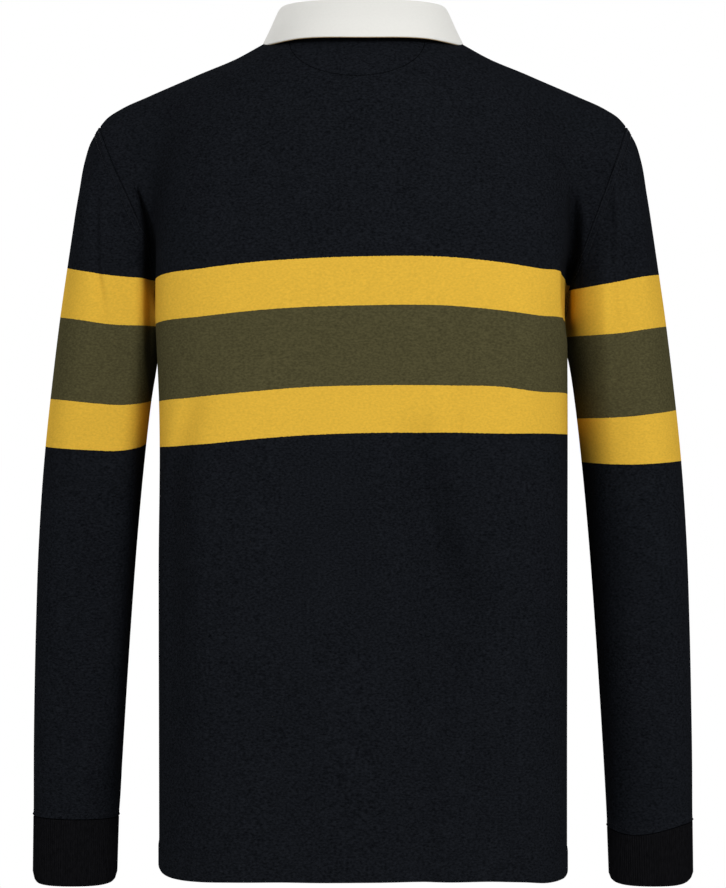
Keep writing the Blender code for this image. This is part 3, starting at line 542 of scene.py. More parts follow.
def sleeve(row, shares, turns):
    """A sleeve with its folds pressed in, and its normals. The turns run right round, from seam to seam."""
    points = sleeve_surface(row, shares, turns)
    behind, give = yielding(turns)
    pressed = behind * fold_depths(points, row.name, "back")
    pressed -= (1 - behind) * fold_depths(points, row.name, "front")
    points[..., 1] -= pressed * give
    normal = normals(points, -row.side)
    seam = normal[:, 0] + normal[:, -1]
    normal[:, 0] = normal[:, -1] = seam / np.linalg.norm(seam, axis=-1, keepdims=True)
    return points, normal


# %% [markdown]
# ## Making a wall of cloth
#
# Every piece is a grid of points and a thickness. The wall's outside carries the fine relief, such as seam
# ridges and the furrow that a line of stitching presses in, and its inside stays plain. The grid also gives
# the piece a UV map in metres along and across the cloth, so that the knit follows the cloth round every
# fold, and an attribute that says how far below the stripes' top edge each point lies. A Solidify modifier
# could give the thickness, but not a relief on one side alone.


# %% A wall of cloth from a grid
CORNERS = ((0, 0), (0, 1), (1, 1), (1, 0))  # of a cell: row and column
ACROSS_EDGE = ((-1, 0), (0, 1), (1, 0), (0, -1))  # the cell on the other side of each of its edges
SHARP_ANGLE = 62  # degrees between two faces, from which their edge is shaded sharp


def wall_faces(kept, closed):
    """Quads as grid places, and which wall face each corner is on: 0 outside, 1 inside. Every kept cell has a
    quad on both, and a rim quad joins the two wherever the next cell is missing."""
    i, j = np.nonzero(kept)
    cell = np.stack([np.stack([i + down, j + along], -1) for down, along in CORNERS], 1)
    quads, inside = [cell, cell[:, ::-1]], [np.zeros(cell.shape[:2], int), np.ones(cell.shape[:2], int)]
    around = np.pad(kept, 1)
    if closed:
        around[1:-1, 0], around[1:-1, -1] = kept[:, -1], kept[:, 0]
    for k, (down, along) in enumerate(ACROSS_EDGE):
        rim = ~around[i + 1 + down, j + 1 + along]
        start, end = cell[rim, k], cell[rim, (k + 1) % 4]
        quads.append(np.stack([end, start, start, end], 1))
        inside.append(np.broadcast_to([0, 0, 1, 1], (len(start), 4)))
    return np.concatenate(quads), np.concatenate(inside)


def mesh_object(name, vertices, faces, uv=None):
    """A smooth mesh object from arrays: vertices, quads or triangles, and the UV of every face corner."""
    used, places = np.unique(faces, return_inverse=True)
    faces = places.reshape(faces.shape)
    mesh = bpy.data.meshes.new(name)
    mesh.vertices.add(len(used))
    mesh.vertices.foreach_set("co", vertices[used].astype(np.float32).ravel())
    mesh.loops.add(faces.size)
    mesh.loops.foreach_set("vertex_index", faces.astype(np.int32).ravel())
    mesh.polygons.add(len(faces))
    mesh.polygons.foreach_set("loop_start", np.arange(0, faces.size, faces.shape[1], dtype=np.int32))
    mesh.update(calc_edges=True)
    if uv is not None:
        mesh.uv_layers.new(name="cloth").data.foreach_set("uv", uv.astype(np.float32).ravel())
    mesh.shade_smooth()
    mesh.set_sharp_from_angle(angle=math.radians(SHARP_ANGLE))
    thing = bpy.data.objects.new(name, mesh)
    bpy.context.scene.collection.objects.link(thing)
    return thing, used


def cloth(name, points, normal, thickness, relief=0.0, closed=False, stripe=None, kept=None, rim=0.5):
    """A wall: outer points at half the thickness plus the relief along the normal, inner points at minus
    half. Its edges are rounded by thinning the first and last rows and columns to the share rim."""
    rows, columns = points.shape[:2]
    half = np.full((rows, columns), thickness / 2)
    half[[0, -1]] *= rim
    if not closed:
        half[:, [0, -1]] *= rim
    outer = points + normal * (half + relief)[..., None]
    inner = points - normal * half[..., None]
    kept = np.ones((rows - 1, columns - 1), bool) if kept is None else kept
    grid, inside = wall_faces(kept, closed)
    turned = np.cross(points[1:, 1:] - points[1:, :-1], points[1:, :-1] - points[:-1, :-1])
    if np.sum(turned * normal[1:, 1:]) < 0:
        grid, inside = grid[:, ::-1], inside[:, ::-1]
    around = columns - 1 if closed else columns
    index = grid[..., 0] * around + grid[..., 1] % around + inside * rows * around
    vertices = np.concatenate([outer[:, :around].reshape(-1, 3), inner[:, :around].reshape(-1, 3)])
    across = widths(points)
    across = across - across[:, columns // 2, None]
    uv = np.stack([across, lengths(points)], -1)[grid[..., 0], grid[..., 1]]
    thing, used = mesh_object(name, vertices, index, uv)
    if stripe is not None:
        values = np.tile(stripe[:, :around].ravel(), 2)[used].astype(np.float32)
        thing.data.attributes.new("stripe", "FLOAT", "POINT").data.foreach_set("value", values)
    return thing


def cut(points):
    """The flat cut of a surface: its longest row, its longest column and its area."""
    width, length = widths(points)[:, -1].max(), lengths(points)[-1].max()
    over = np.cross(points[1:, 1:] - points[:-1, :-1], points[1:, :-1] - points[:-1, 1:])
    area = np.linalg.norm(over, axis=-1).sum() / 2
    return (float(width), float(length)), float(min(area, width * length))


def finish_piece(thing, material, slot, *nodes):
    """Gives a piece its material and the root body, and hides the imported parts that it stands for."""
    thing.data.materials.append(material)
    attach(thing, "root")
    if nodes:
        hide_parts(*nodes)
    corners = np.zeros(len(thing.data.polygons), np.int32)
    thing.data.polygons.foreach_get("loop_total", corners)
    print(thing.name, int((corners - 2).sum()), "triangles")


def declare(thing, points):
    """Prints a sheet's flat cut: its longest row and column, and its area."""
    flat, area = cut(points)
    print(thing.name, "cut", [round(1000 * size) for size in flat], "mm,", round(area, 4), "m2")


# %% [markdown]
# ## Lines of stitching
#
# Each stitch is a short plump capsule of thread, half sunk in the cloth. The lines are found on the finished
# surfaces, at a distance from an edge that is measured along the cloth, so a twin row stays parallel round
# every curve. They could be drawn on the cloth, but modelled ones catch the light from every side.


# %% Stitches as joined capsules
CAPSULE_RINGS = ((-1.0, 0.35), (-0.72, 0.85), (-0.25, 1.0), (0.25, 1.0), (0.72, 0.85), (1.0, 0.35))
CAPSULE_SIDES = 5


def ring_triangles(rings, sides):
    """The triangles between rings of points, two for every quad from one ring to the next, closed round."""
    i, j = (a.ravel() for a in np.meshgrid(np.arange(rings - 1), np.arange(sides), indexing="ij"))
    k = (j + 1) % sides
    quads = np.stack([i * sides + j, (i + 1) * sides + j, (i + 1) * sides + k, i * sides + k], -1)
    return np.concatenate([quads[:, [0, 1, 2]], quads[:, [0, 2, 3]]])


def level_line(points, normal, distance):
    """The line where every column of a grid has run a distance from its first row, and the normals there."""
    run = lengths(points)
    distance = np.broadcast_to(distance, run.shape[1:])
    high = np.clip((run < distance).sum(0), 1, len(run) - 1)
    columns = np.arange(run.shape[1])
    t = ((distance - run[high - 1, columns]) / (run[high, columns] - run[high - 1, columns]))[:, None]
    line = points[high - 1, columns] * (1 - t) + points[high, columns] * t
    return line, normal[high - 1, columns] * (1 - t) + normal[high, columns] * t


def stitch_line(line, normal, length, gap, radius, lift, slant=0.0):
    """Stitches along a line: their middles every length plus gap, turned by the slant out of its direction.
    Returns the vertices and faces of all their capsules."""
    run = np.concatenate([[0], np.cumsum(np.linalg.norm(np.diff(line, axis=0), axis=-1))])
    middles = np.arange(0.5 * (length + gap), run[-1], length + gap)
    read = lambda values, at: np.stack([np.interp(at, run, values[:, k]) for k in range(3)], -1)
    unit = lambda vector: vector / np.linalg.norm(vector, axis=-1, keepdims=True)
    up = unit(read(normal, middles))
    ahead = unit(read(line, middles + length / 2) - read(line, middles - length / 2))
    side = unit(np.cross(up, ahead))
    ahead = ahead * math.cos(slant) + side * math.sin(slant)
    side = np.cross(up, ahead)
    rings = np.array(CAPSULE_RINGS)
    turns = np.linspace(0, 2 * math.pi, CAPSULE_SIDES, endpoint=False)
    centre = read(line, middles) + up * lift
    vertices = (
        centre[:, None, None]
        + ahead[:, None, None] * (rings[:, 0, None, None] * length / 2)
        + side[:, None, None] * (rings[:, 1, None, None] * radius * np.cos(turns)[:, None])
        + up[:, None, None] * (rings[:, 1, None, None] * radius * np.sin(turns)[:, None])
    )
    spokes = np.arange(1, CAPSULE_SIDES - 1)
    fan = np.stack([0 * spokes, spokes, spokes + 1], -1)
    end = (fan + (len(rings) - 1) * CAPSULE_SIDES)[:, ::-1]
    triangles = np.concatenate([ring_triangles(len(rings), CAPSULE_SIDES), fan, end])
    each = len(rings) * CAPSULE_SIDES
    faces = triangles[None] + (np.arange(len(middles)) * each)[:, None, None]
    return vertices.reshape(-1, 3), faces.reshape(-1, 3)


def stitches(name, *lines):
    """One object of several stitch lines."""
    vertices, faces, first = [], [], 0
    for points, triangles in lines:
        vertices.append(points)
        faces.append(triangles + first)
        first += len(points)
    thing, _ = mesh_object(name, np.concatenate(vertices), np.concatenate(faces))
    return thing


def seen_from_behind(thing, flat):
    """Points of a surface, and its normals, at places x and z seen square on from behind."""
    tree = BVHTree.FromPolygons(
        [vertex.co for vertex in thing.data.vertices], [face.vertices for face in thing.data.polygons]
    )
    hits = [tree.ray_cast((x, 1.0, z), (0, -1, 0)) for x, z in flat]
    return np.array([hit[0] for hit in hits]), np.array([hit[1] for hit in hits])


# %% [markdown]
# ## Materials
#
# Cotton is matt. What tells one cloth from another here is the way it is made: jersey is rows of small looped
# V shapes, rib is ridges with a groove between them, and twill is fine diagonal lines. Each material draws
# its own, in metres along the cloth, as a bump, with a little unevenness in the dye.


# %% Nodes and colours
def linear(colour):
    """An sRGB hex colour as linear light: ((c + 0.055) / 1.055) ^ 2.4, or c / 12.92 below 0.04045."""
    parts = [int(colour[k : k + 2], 16) / 255 for k in (1, 3, 5)]
    return [((c + 0.055) / 1.055) ** 2.4 if c > 0.04045 else c / 12.92 for c in parts] + [1.0]


def node(tree, kind, feeds=(), **settings):
    """One shader node with its settings, and what feeds its inputs, by name or in their order: another node's
    output or a plain value."""
    made = tree.nodes.new("ShaderNode" + kind)
    for name, value in settings.items():
        setattr(made, name, value)
    for name, value in feeds.items() if isinstance(feeds, dict) else enumerate(feeds):
        if isinstance(value, bpy.types.NodeSocket):
            tree.links.new(value, made.inputs[name])
        else:
            made.inputs[name].default_value = value
    return made


def new_material(name):
    """An empty material: its node tree and its Principled shader."""
    material = bpy.data.materials.new(name)
    material.use_nodes = True
    return material, material.node_tree, material.node_tree.nodes["Principled BSDF"]


def dress(tree, shader, dye, shade, height, bump, roughness, gloss):
    """How every finish here ends: its dye times a shade, its height as a bump of a strength and a distance in
    metres, and the shader's roughness and specular level."""
    dyed = node(tree, "VectorMath", {0: dye, "Scale": shade}, operation="SCALE").outputs[0]
    tree.links.new(dyed, shader.inputs["Base Color"])
    relief = node(tree, "Bump", {"Strength": bump[0], "Distance": bump[1], "Height": height})
    tree.links.new(relief.outputs["Normal"], shader.inputs["Normal"])
    shader.inputs["Roughness"].default_value = roughness
    shader.inputs["Specular IOR Level"].default_value = gloss


print("mid grey in linear light", round(linear("#808080")[0], 3))

# %% [markdown]
# ### Jersey
#
# Heavy combed cotton jersey is matt and a little fuzzy, and pale lint clings to the dark dye. Its loops could
# be modelled one by one, but that takes millions of faces, while a bump on the UV map shows the same small
# Vs. The stripes' colours could come from a picture, but read from the wall's own attribute through a ramp
# with hard steps, they stay sharp at any size.

# %% The knit's relief
WALE, COURSE = 0.00145, 0.0011  # a knitted loop's width and height, nearly twice the real ones, to show


def jersey_height(tree, u, v):
    """The face of plain knit. In each wale two legs lean together: with a the distance from its middle, the
    height is sin(2 pi a) * (0.55 + 0.45 sin(pi frac(v / COURSE + 1.2 a)))."""
    wales = node(tree, "Math", (u, WALE), operation="DIVIDE").outputs[0]
    place = node(tree, "Math", (wales,), operation="FRACT").outputs[0]
    off = node(tree, "Math", (place, 0.5), operation="SUBTRACT").outputs[0]
    away = node(tree, "Math", (off,), operation="ABSOLUTE").outputs[0]
    turn = node(tree, "Math", (away, 2 * math.pi), operation="MULTIPLY").outputs[0]
    legs = node(tree, "Math", (turn,), operation="SINE").outputs[0]
    courses = node(tree, "Math", (v, COURSE), operation="DIVIDE").outputs[0]
    slanted = node(tree, "Math", (away, 1.2, courses), operation="MULTIPLY_ADD").outputs[0]
    step = node(tree, "Math", (slanted,), operation="FRACT").outputs[0]
    bend = node(tree, "Math", (step, math.pi), operation="MULTIPLY").outputs[0]
    loops = node(tree, "Math", (bend,), operation="SINE").outputs[0]
    depth = node(tree, "Math", (loops, 0.45, 0.55), operation="MULTIPLY_ADD").outputs[0]
    return node(tree, "Math", (legs, depth), operation="MULTIPLY").outputs[0]


print(round(0.1 / WALE), "wales and", round(0.1 / COURSE), "courses to 10 cm")

# %% Jersey
NAVY, YELLOW, OLIVE = "#15171b", "#deb13e", "#4b472f"
GRAIN = {NAVY: 0.82, OLIVE: 0.42, YELLOW: 0.130}  # pale lint shows most on the darkest dye
STRIPE_DEPTHS = (0.0, 0.041, 0.110, 0.151)  # of the stripes' edges below their top one
RAGGED = 0.0010  # how much a stripe's edge wanders: about a course
RAMP_FROM, RAMP_TO = -0.02, 0.18  # the depths that the stripes' colour ramp spans


def dyed_jersey(name, striped):
    """Heavy combed cotton jersey: matt, with pale lint. The stripes are knitted in, so their edges step by a
    course here and there."""
    material, tree, shader = new_material(name)
    uv = node(tree, "UVMap", uv_map="cloth").outputs["UV"]
    parts = node(tree, "SeparateXYZ", {"Vector": uv})
    u, v = parts.outputs["X"], parts.outputs["Y"]
    # lint: specks about 2.4 mm wide and 1.4 mm high, coarser than the real ones so that they show, and uneven
    # dye in clouds about 3 cm wide
    place = node(tree, "TexCoord").outputs["Object"]
    stretched = node(tree, "Mapping", {"Vector": place, "Scale": (420.0, 420.0, 700.0)}).outputs["Vector"]
    specks = node(tree, "TexNoise", {"Vector": stretched, "Scale": 1.0, "Detail": 3.0}).outputs["Fac"]
    clouds = node(tree, "TexNoise", {"Vector": place, "Scale": 35.0, "Detail": 2.0}).outputs["Fac"]
    clouded = node(tree, "Math", (clouds, 0.3, -1.65), operation="MULTIPLY_ADD").outputs[0]
    uneven = node(tree, "Math", (specks, 3.0, clouded), operation="MULTIPLY_ADD").outputs[0]
    colour = linear(NAVY)[:3]
    if striped:
        depth = node(tree, "Attribute", attribute_name="stripe").outputs["Fac"]
        ragged = node(tree, "TexNoise", {"Vector": uv, "Scale": 700.0, "Detail": 1.0}).outputs["Fac"]
        step = node(tree, "Math", (ragged, RAGGED, -RAGGED / 2), operation="MULTIPLY_ADD").outputs[0]
        depth = node(tree, "Math", (depth, step), operation="ADD").outputs[0]
        span = RAMP_TO - RAMP_FROM
        share = node(tree, "Math", (depth, 1 / span, -RAMP_FROM / span), operation="MULTIPLY_ADD").outputs[0]
        ramp = node(tree, "ValToRGB", {"Fac": share})
        ramp.color_ramp.interpolation = "CONSTANT"
        stops = list(zip((RAMP_FROM, *STRIPE_DEPTHS), (NAVY, YELLOW, OLIVE, YELLOW, NAVY)))
        while len(ramp.color_ramp.elements) < len(stops):
            ramp.color_ramp.elements.new(1.0)
        for element, (edge, dye) in zip(ramp.color_ramp.elements, stops):
            element.position = (edge - RAMP_FROM) / span
            element.color = linear(dye)[:3] + [GRAIN[dye]]
        colour = ramp.outputs["Color"]
        uneven = node(tree, "Math", (uneven, ramp.outputs["Alpha"]), operation="MULTIPLY").outputs[0]
    level = node(tree, "Math", (uneven, 1.0), operation="ADD").outputs[0]
    level = node(tree, "Math", (level, 0.3), operation="MAXIMUM").outputs[0]
    # the knit itself, and over it the fuzz of combed cotton
    knit = jersey_height(tree, u, v)
    fuzz = node(tree, "TexNoise", {"Vector": uv, "Scale": 1600.0, "Detail": 2.0}).outputs["Fac"]
    height = node(tree, "Math", (fuzz, 0.5, knit), operation="MULTIPLY_ADD").outputs[0]
    dress(tree, shader, colour, level, height, bump=(0.55, 0.00022), roughness=0.95, gloss=0.0)
    shader.inputs["Sheen Weight"].default_value = 0.004
    shader.inputs["Sheen Roughness"].default_value = 0.40
    return material


striped_jersey = dyed_jersey("combed_cotton_jersey_knitted_stripes", striped=True)
plain_jersey = dyed_jersey("combed_cotton_jersey_navy", striped=False)
print(striped_jersey.name, "and", plain_jersey.name)

# %% [markdown]
# ### Rib, twill, rubber and thread
#
# Rib is the darkest of the cloths, because little light comes back from between its ridges. The ridges are
# modelled with the cuff, so this finish adds only loops and lint. Twill is smoother than jersey, as its
# threads lie side by side, and its diagonal ridges give a faint slanted grain. Rubber takes a satin face from
# its mould. Thread is twisted, which shows only as a fine grain at this size. All of them could be pictures,
# but worked out in metres they don't blur.

# %% Rib
BLACK_RIB = "#121214"


def knitted_rib(name):
    """One-by-one rib. Its ridges are modelled, so only the loops along each ridge are bumped."""
    material, tree, shader = new_material(name)
    uv = node(tree, "UVMap", uv_map="cloth").outputs["UV"]
    parts = node(tree, "SeparateXYZ", {"Vector": uv})
    turn = node(tree, "Math", (parts.outputs["Y"], 2 * math.pi / COURSE), operation="MULTIPLY").outputs[0]
    loops = node(tree, "Math", (turn,), operation="SINE").outputs[0]
    fuzz = node(tree, "TexNoise", {"Vector": uv, "Scale": 1400.0, "Detail": 2.0}).outputs["Fac"]
    height = node(tree, "Math", (fuzz, 0.8, loops), operation="MULTIPLY_ADD").outputs[0]
    # lint drawn out along the ribs: about 2 mm wide and 5 mm long, coarser than real so that it shows
    place = node(tree, "TexCoord").outputs["Object"]
    drawn = node(tree, "Mapping", {"Vector": place, "Scale": (520.0, 520.0, 200.0)}).outputs["Vector"]
    lint = node(tree, "TexNoise", {"Vector": drawn, "Scale": 1.0, "Detail": 3.0}).outputs["Fac"]
    worn = node(tree, "Math", (lint, 1.3, 0.35), operation="MULTIPLY_ADD").outputs[0]
    dress(tree, shader, linear(BLACK_RIB)[:3], worn, height, bump=(0.5, 0.0002), roughness=0.95, gloss=0.0)
    return material


black_rib = knitted_rib("one_by_one_rib_black")
print(black_rib.name)

# %% Twill
ECRU = "#e6e5e0"
TWILL_RIDGE = 0.0010  # across the cloth from one diagonal ridge to the next, twice the real one, to show


def cotton_twill(name):
    """Off-white cotton twill: fine diagonal ridges with slubs, which catch the light as a slanted grain."""
    material, tree, shader = new_material(name)
    uv = node(tree, "UVMap", uv_map="cloth").outputs["UV"]
    parts = node(tree, "SeparateXYZ", {"Vector": uv})
    diagonal = node(tree, "Math", (parts.outputs["X"], parts.outputs["Y"]), operation="ADD").outputs[0]
    turn = node(tree, "Math", (diagonal, 2 * math.pi / TWILL_RIDGE), operation="MULTIPLY").outputs[0]
    ridges = node(tree, "Math", (turn,), operation="SINE").outputs[0]
    slubs = node(tree, "TexNoise", {"Vector": uv, "Scale": 420.0, "Detail": 3.0}).outputs["Fac"]
    height = node(tree, "Math", (slubs, 1.5, ridges), operation="MULTIPLY_ADD").outputs[0]
    uneven = node(tree, "Math", (slubs, 0.06, 0.97), operation="MULTIPLY_ADD").outputs[0]
    dress(tree, shader, linear(ECRU)[:3], uneven, height, bump=(0.35, 0.00012), roughness=0.85, gloss=0.2)
    return material


ecru_twill = cotton_twill("cotton_twill_off_white")
print(ecru_twill.name)

# %% Rubber and thread
RUBBER = "#dcdad2"


def moulded_rubber(name):
    """Rubber buttons from a mould: satin, with the mould's fine grain."""
    material, tree, shader = new_material(name)
    place = node(tree, "TexCoord").outputs["Object"]
    grain = node(tree, "TexNoise", {"Vector": place, "Scale": 2200.0, "Detail": 2.0}).outputs["Fac"]
    tint = node(tree, "Math", (grain, 0.06, 0.97), operation="MULTIPLY_ADD").outputs[0]
    dress(tree, shader, linear(RUBBER)[:3], tint, grain, bump=(0.15, 0.0001), roughness=0.48, gloss=0.4)
    return material


def sewing_thread(name, colour, gloss):
    """Twisted sewing thread: the twist's fine grain on each stitch, and a gloss of its own."""
    material, tree, shader = new_material(name)
    place = node(tree, "TexCoord").outputs["Object"]
    twist = node(tree, "TexNoise", {"Vector": place, "Scale": 3000.0, "Detail": 1.0}).outputs["Fac"]
    tint = node(tree, "Math", (twist, 0.3, 0.85), operation="MULTIPLY_ADD").outputs[0]
    dress(tree, shader, linear(colour)[:3], tint, twist, bump=(0.4, 0.0001), roughness=0.50, gloss=gloss)
    return material


rubber = moulded_rubber("moulded_rubber_off_white")
dark_thread = sewing_thread("polyester_thread_dark_grey", "#191b1f", 0.05)
hem_thread = sewing_thread("polyester_thread_navy", "#16181c", 0.0)
overlock_thread = sewing_thread("textured_overlock_thread_grey", "#34363c", 0.1)
# partly painted shade: the half-moon's thread is near black, darker than the navy, to paint the shade of its
# furrow
half_moon_thread_painted_shade = sewing_thread("cotton_thread_black", "#0a0b0d", 0.0)
# painted shade: a tan thread that draws the shaded turned-under side of the collar's loose edge
collar_edge_shade_thread = sewing_thread("cotton_thread_tan", "#a58c66", 0.1)
pale_thread = sewing_thread("polyester_thread_off_white", "#e6e4dd", 0.3)
print(len(bpy.data.materials), "materials")

# %% [markdown]
# ## The stripes
#
# One yellow, olive and yellow stripe runs right round the shirt. It hangs a little lower towards the sides,
# as the shoulders do, and each sleeve is sewn in at its own height. So the edges are read from short tables:
# the height of each of the four at a few places across.

# %% Stripe edges
# place: x on the body, and on a sleeve how far it is from its outer line, 0, to its inner one, 1
StripeEdge = namedtuple("StripeEdge", "place top upper lower bottom")
BODY_STRIPES = {
    "back": (
        StripeEdge(-0.1880, -0.2151, -0.2500, -0.3120, -0.3460),
        StripeEdge(-0.1755, -0.2061, -0.2430, -0.3072, -0.3425),
        StripeEdge(-0.1711, -0.2034, -0.2419, -0.3068, -0.3423),
        StripeEdge(-0.1520, -0.2014, -0.2412, -0.3064, -0.3419),
        StripeEdge(-0.1165, -0.1966, -0.2370, -0.3020, -0.3420),
        StripeEdge(-0.0740, -0.1925, -0.2332, -0.3010, -0.3412),
        StripeEdge(0.0000, -0.1919, -0.2329, -0.3010, -0.3416),
        StripeEdge(0.0529, -0.1939, -0.2345, -0.3027, -0.3437),
        StripeEdge(0.0869, -0.1961, -0.2368, -0.3055, -0.3463),
        StripeEdge(0.1388, -0.2018, -0.2420, -0.3103, -0.3513),
        StripeEdge(0.1755, -0.2066, -0.2456, -0.3137, -0.3535),
        StripeEdge(0.1860, -0.2105, -0.2480, -0.3150, -0.3540),
    ),
    "front": (
        StripeEdge(-0.1711, -0.2034, -0.2419, -0.3068, -0.3423),
        StripeEdge(0.0000, -0.1960, -0.2370, -0.3060, -0.3470),
        StripeEdge(0.1755, -0.2066, -0.2456, -0.3137, -0.3535),
    ),
}
SLEEVE_STRIPES = {
    "left": (
        StripeEdge(0.00, -0.1955, -0.2385, -0.3105, -0.3530),
        StripeEdge(0.25, -0.2010, -0.2422, -0.3128, -0.3549),
        StripeEdge(0.50, -0.2050, -0.2460, -0.3152, -0.3562),
        StripeEdge(0.75, -0.2072, -0.2474, -0.3165, -0.3566),
        StripeEdge(1.00, -0.2078, -0.2460, -0.3125, -0.3510),
    ),
    "right": (
        StripeEdge(0.00, -0.2015, -0.2465, -0.3203, -0.3655),
        StripeEdge(0.25, -0.2058, -0.2502, -0.3237, -0.3674),
        StripeEdge(0.50, -0.2108, -0.2538, -0.3264, -0.3686),
        StripeEdge(0.75, -0.2147, -0.2555, -0.3277, -0.3684),
        StripeEdge(1.00, -0.2165, -0.2560, -0.3280, -0.3668),
    ),
}


def stripe_depth(table, place, z):
    """How far below the stripes' top edge a height lies, in the stripes' own metres: straight between two
    edges of the table, and metre for metre outside them."""
    at = np.clip(place, table[0].place, table[-1].place)
    edges = [through(column(table, "place"), column(table, name), at) for name in StripeEdge._fields[1:]]
    depth = np.where(z > edges[0], edges[0] - z, STRIPE_DEPTHS[-1] + edges[-1] - z)
    for k in range(3):
        inside = (z <= edges[k]) & (z > edges[k + 1])
        share = (edges[k] - z) / (edges[k] - edges[k + 1])
        depth = np.where(inside, STRIPE_DEPTHS[k] + share * (STRIPE_DEPTHS[k + 1] - STRIPE_DEPTHS[k]), depth)
    return depth


# %% [markdown]
# ## The back
#
# One panel from the hem to the shoulder and neck seams. Its hem is turned up once and stitched down in one
# row, which leaves a doubled band with a furrow near its top. A half-moon of the same jersey is sewn inside
# under the collar, and only its stitching shows outside. The panel could be draped by a cloth simulation, but
# then its folds would fall where they like; worked out from sections, they can be placed.

# %% Relief near seams and hem
HEM_DEPTH, HEM_LIP = 0.0198, 0.0007  # of the doubled band, and how far it stands out
HEM_LIP_OVER, HEM_LIP_STEP = 0.0012, 0.0020  # how far the band's top edge lies above its depth, and its slope
HEM_ROW = HEM_DEPTH - 0.0008  # of the stitches, above the hem
SEAM_ROLL, SEAM_ROLL_WIDTH = 0.0010, 0.0008  # how deep and how wide an edge rolls down into its seam
GROOVE, GROOVE_WIDTH = 0.00050, 0.0012
HEM_FADE = 0.050  # how far up the panel the hem's own line is felt
HemLine = namedtuple("HemLine", "x rise")  # in millimetres
HEM_LINES = {
    "back": (
        HemLine(-179.0, 3.6), HemLine(-176.5, 0.2), HemLine(-173.5, -1.6), HemLine(-169.0, -2.2),
        HemLine(-158.0, -2.6), HemLine(-138.0, -0.3), HemLine(-110.0, 0.7), HemLine(-60.0, 1.6),
        HemLine(0.0, 1.4), HemLine(55.0, 1.0), HemLine(115.0, 0.7), HemLine(140.0, -0.1),
        HemLine(157.0, -0.2), HemLine(168.0, 0.9), HemLine(172.5, 2.4), HemLine(176.0, 5.0),
        HemLine(179.0, 8.8),
    ),
    "front": (
        HemLine(-179.0, 3.6), HemLine(-170.0, -1.0), HemLine(-130.0, -1.2), HemLine(-50.0, 0.8),
        HemLine(70.0, 0.4), HemLine(140.0, 0.0), HemLine(169.0, 2.0), HemLine(179.0, 8.8),
    ),
}


def hang(points, face):
    """A panel whose hem follows its line: each column is lifted by the line's rise, fading out upwards."""
    x, rise = np.array(HEM_LINES[face]).T / 1000
    rise = through(x, rise, np.clip(points[..., 0], x[0], x[-1]))
    above = points[..., 2] - BODY_SECTIONS[0].z
    return points + np.stack([0 * rise, 0 * rise, rise * smooth(1 - above / HEM_FADE)], -1)


def bell(distance, width):
    """A soft ridge across a line, 1 high: exp(-(distance / width)^2)."""
    return np.exp(-((distance / width) ** 2))


def groove(distance, width=GROOVE_WIDTH):
    """The furrow that a line of stitches presses in."""
    return -GROOVE * bell(distance, width)


def hem_relief(points):
    """The turned-up hem is a layer thicker, and furrowed where it is sewn down."""
    up = lengths(points)
    return HEM_LIP * smooth((HEM_DEPTH + HEM_LIP_OVER - up) / HEM_LIP_STEP) + groove(up - HEM_ROW)


def side_roll(points):
    """A panel's edge rolls down into its seam."""
    return -SEAM_ROLL * bell(to_sides(points), SEAM_ROLL_WIDTH)


print("hem", 1000 * HEM_DEPTH, "mm deep")

# %% The back panel
# the half-moon's line of stitches, seen from behind: its middle, its half width, its top and how far it drops
PATCH_MIDDLE, PATCH_LINE_X, PATCH_LINE_TOP, PATCH_LINE_DROP = 0.0052, 0.0585, -0.0020, 0.0335
PATCH_GROOVE = 1.1  # how much deeper than other furrows
half = spaced(0, (0.26, 40), (NECK_SHARE, 9), (0.60, 11), (0.90, 36), (0.985, 18), (0.994, 4), (1.0, 4))
panel_shares = np.concatenate([-half[:0:-1], half])
heights = spaced(-1, (-0.9985, 1), (-0.953, 22), (0.0, 90), (0.70, 50), (0.985, 36), (0.999, 3))
points, normal = panel("back", panel_shares[::-1], heights)
points = hang(points, "back")
turn = np.linspace(0, math.pi, 41)
patch_line = np.stack(
    [PATCH_MIDDLE + PATCH_LINE_X * np.cos(turn), PATCH_LINE_TOP - PATCH_LINE_DROP * np.sin(turn)], -1
)
relief = hem_relief(points) + side_roll(points)
away = off_line(points[..., [0, 2]], patch_line)[1]
to_patch_line = np.linalg.norm(away, axis=-1).min(-1)
relief = relief + np.where(points[..., 1] > 0, PATCH_GROOVE * groove(to_patch_line), 0)
stripe = stripe_depth(BODY_STRIPES["back"], points[..., 0], points[..., 2])
back = cloth("back_jersey", points, normal, JERSEY, relief, stripe=stripe)
finish_piece(back, striped_jersey, "navy_jersey", "back")
declare(back, points)
back_points, back_normal = points, normal

# %% [markdown]
# ## The front
#
# The same at the front, cut open down its middle for the placket. The slit is a column of the grid whose
# faces are left out above the placket's foot, which gives it clean sewn edges without cutting a mesh.

# %% The front panel
# the placket's length, how much higher the slit ends, and half the slit's width
PLACKET_LENGTH, PLACKET_FOOT, SLOT_HALF = 0.165, 0.012, 0.011
MIDDLE = 0.04 * np.array([-1, 0, 1])  # shares near a panel's middle, to measure it there


def height_at(face, drop):
    """The height of a panel at a distance down its middle from the neck seam."""
    try_heights = np.linspace(1, 0, 257)
    middle = panel(face, MIDDLE, try_heights)[0][:, 1:2]
    return np.interp(drop, lengths(middle)[:, 0], try_heights)


def share_of_x(face, heights):
    """The share of each row of a panel that lies one metre from the middle, if the row went on straight."""
    probe = panel(face, MIDDLE, heights)[0]
    return MIDDLE[2] / probe[:, 2, 0]


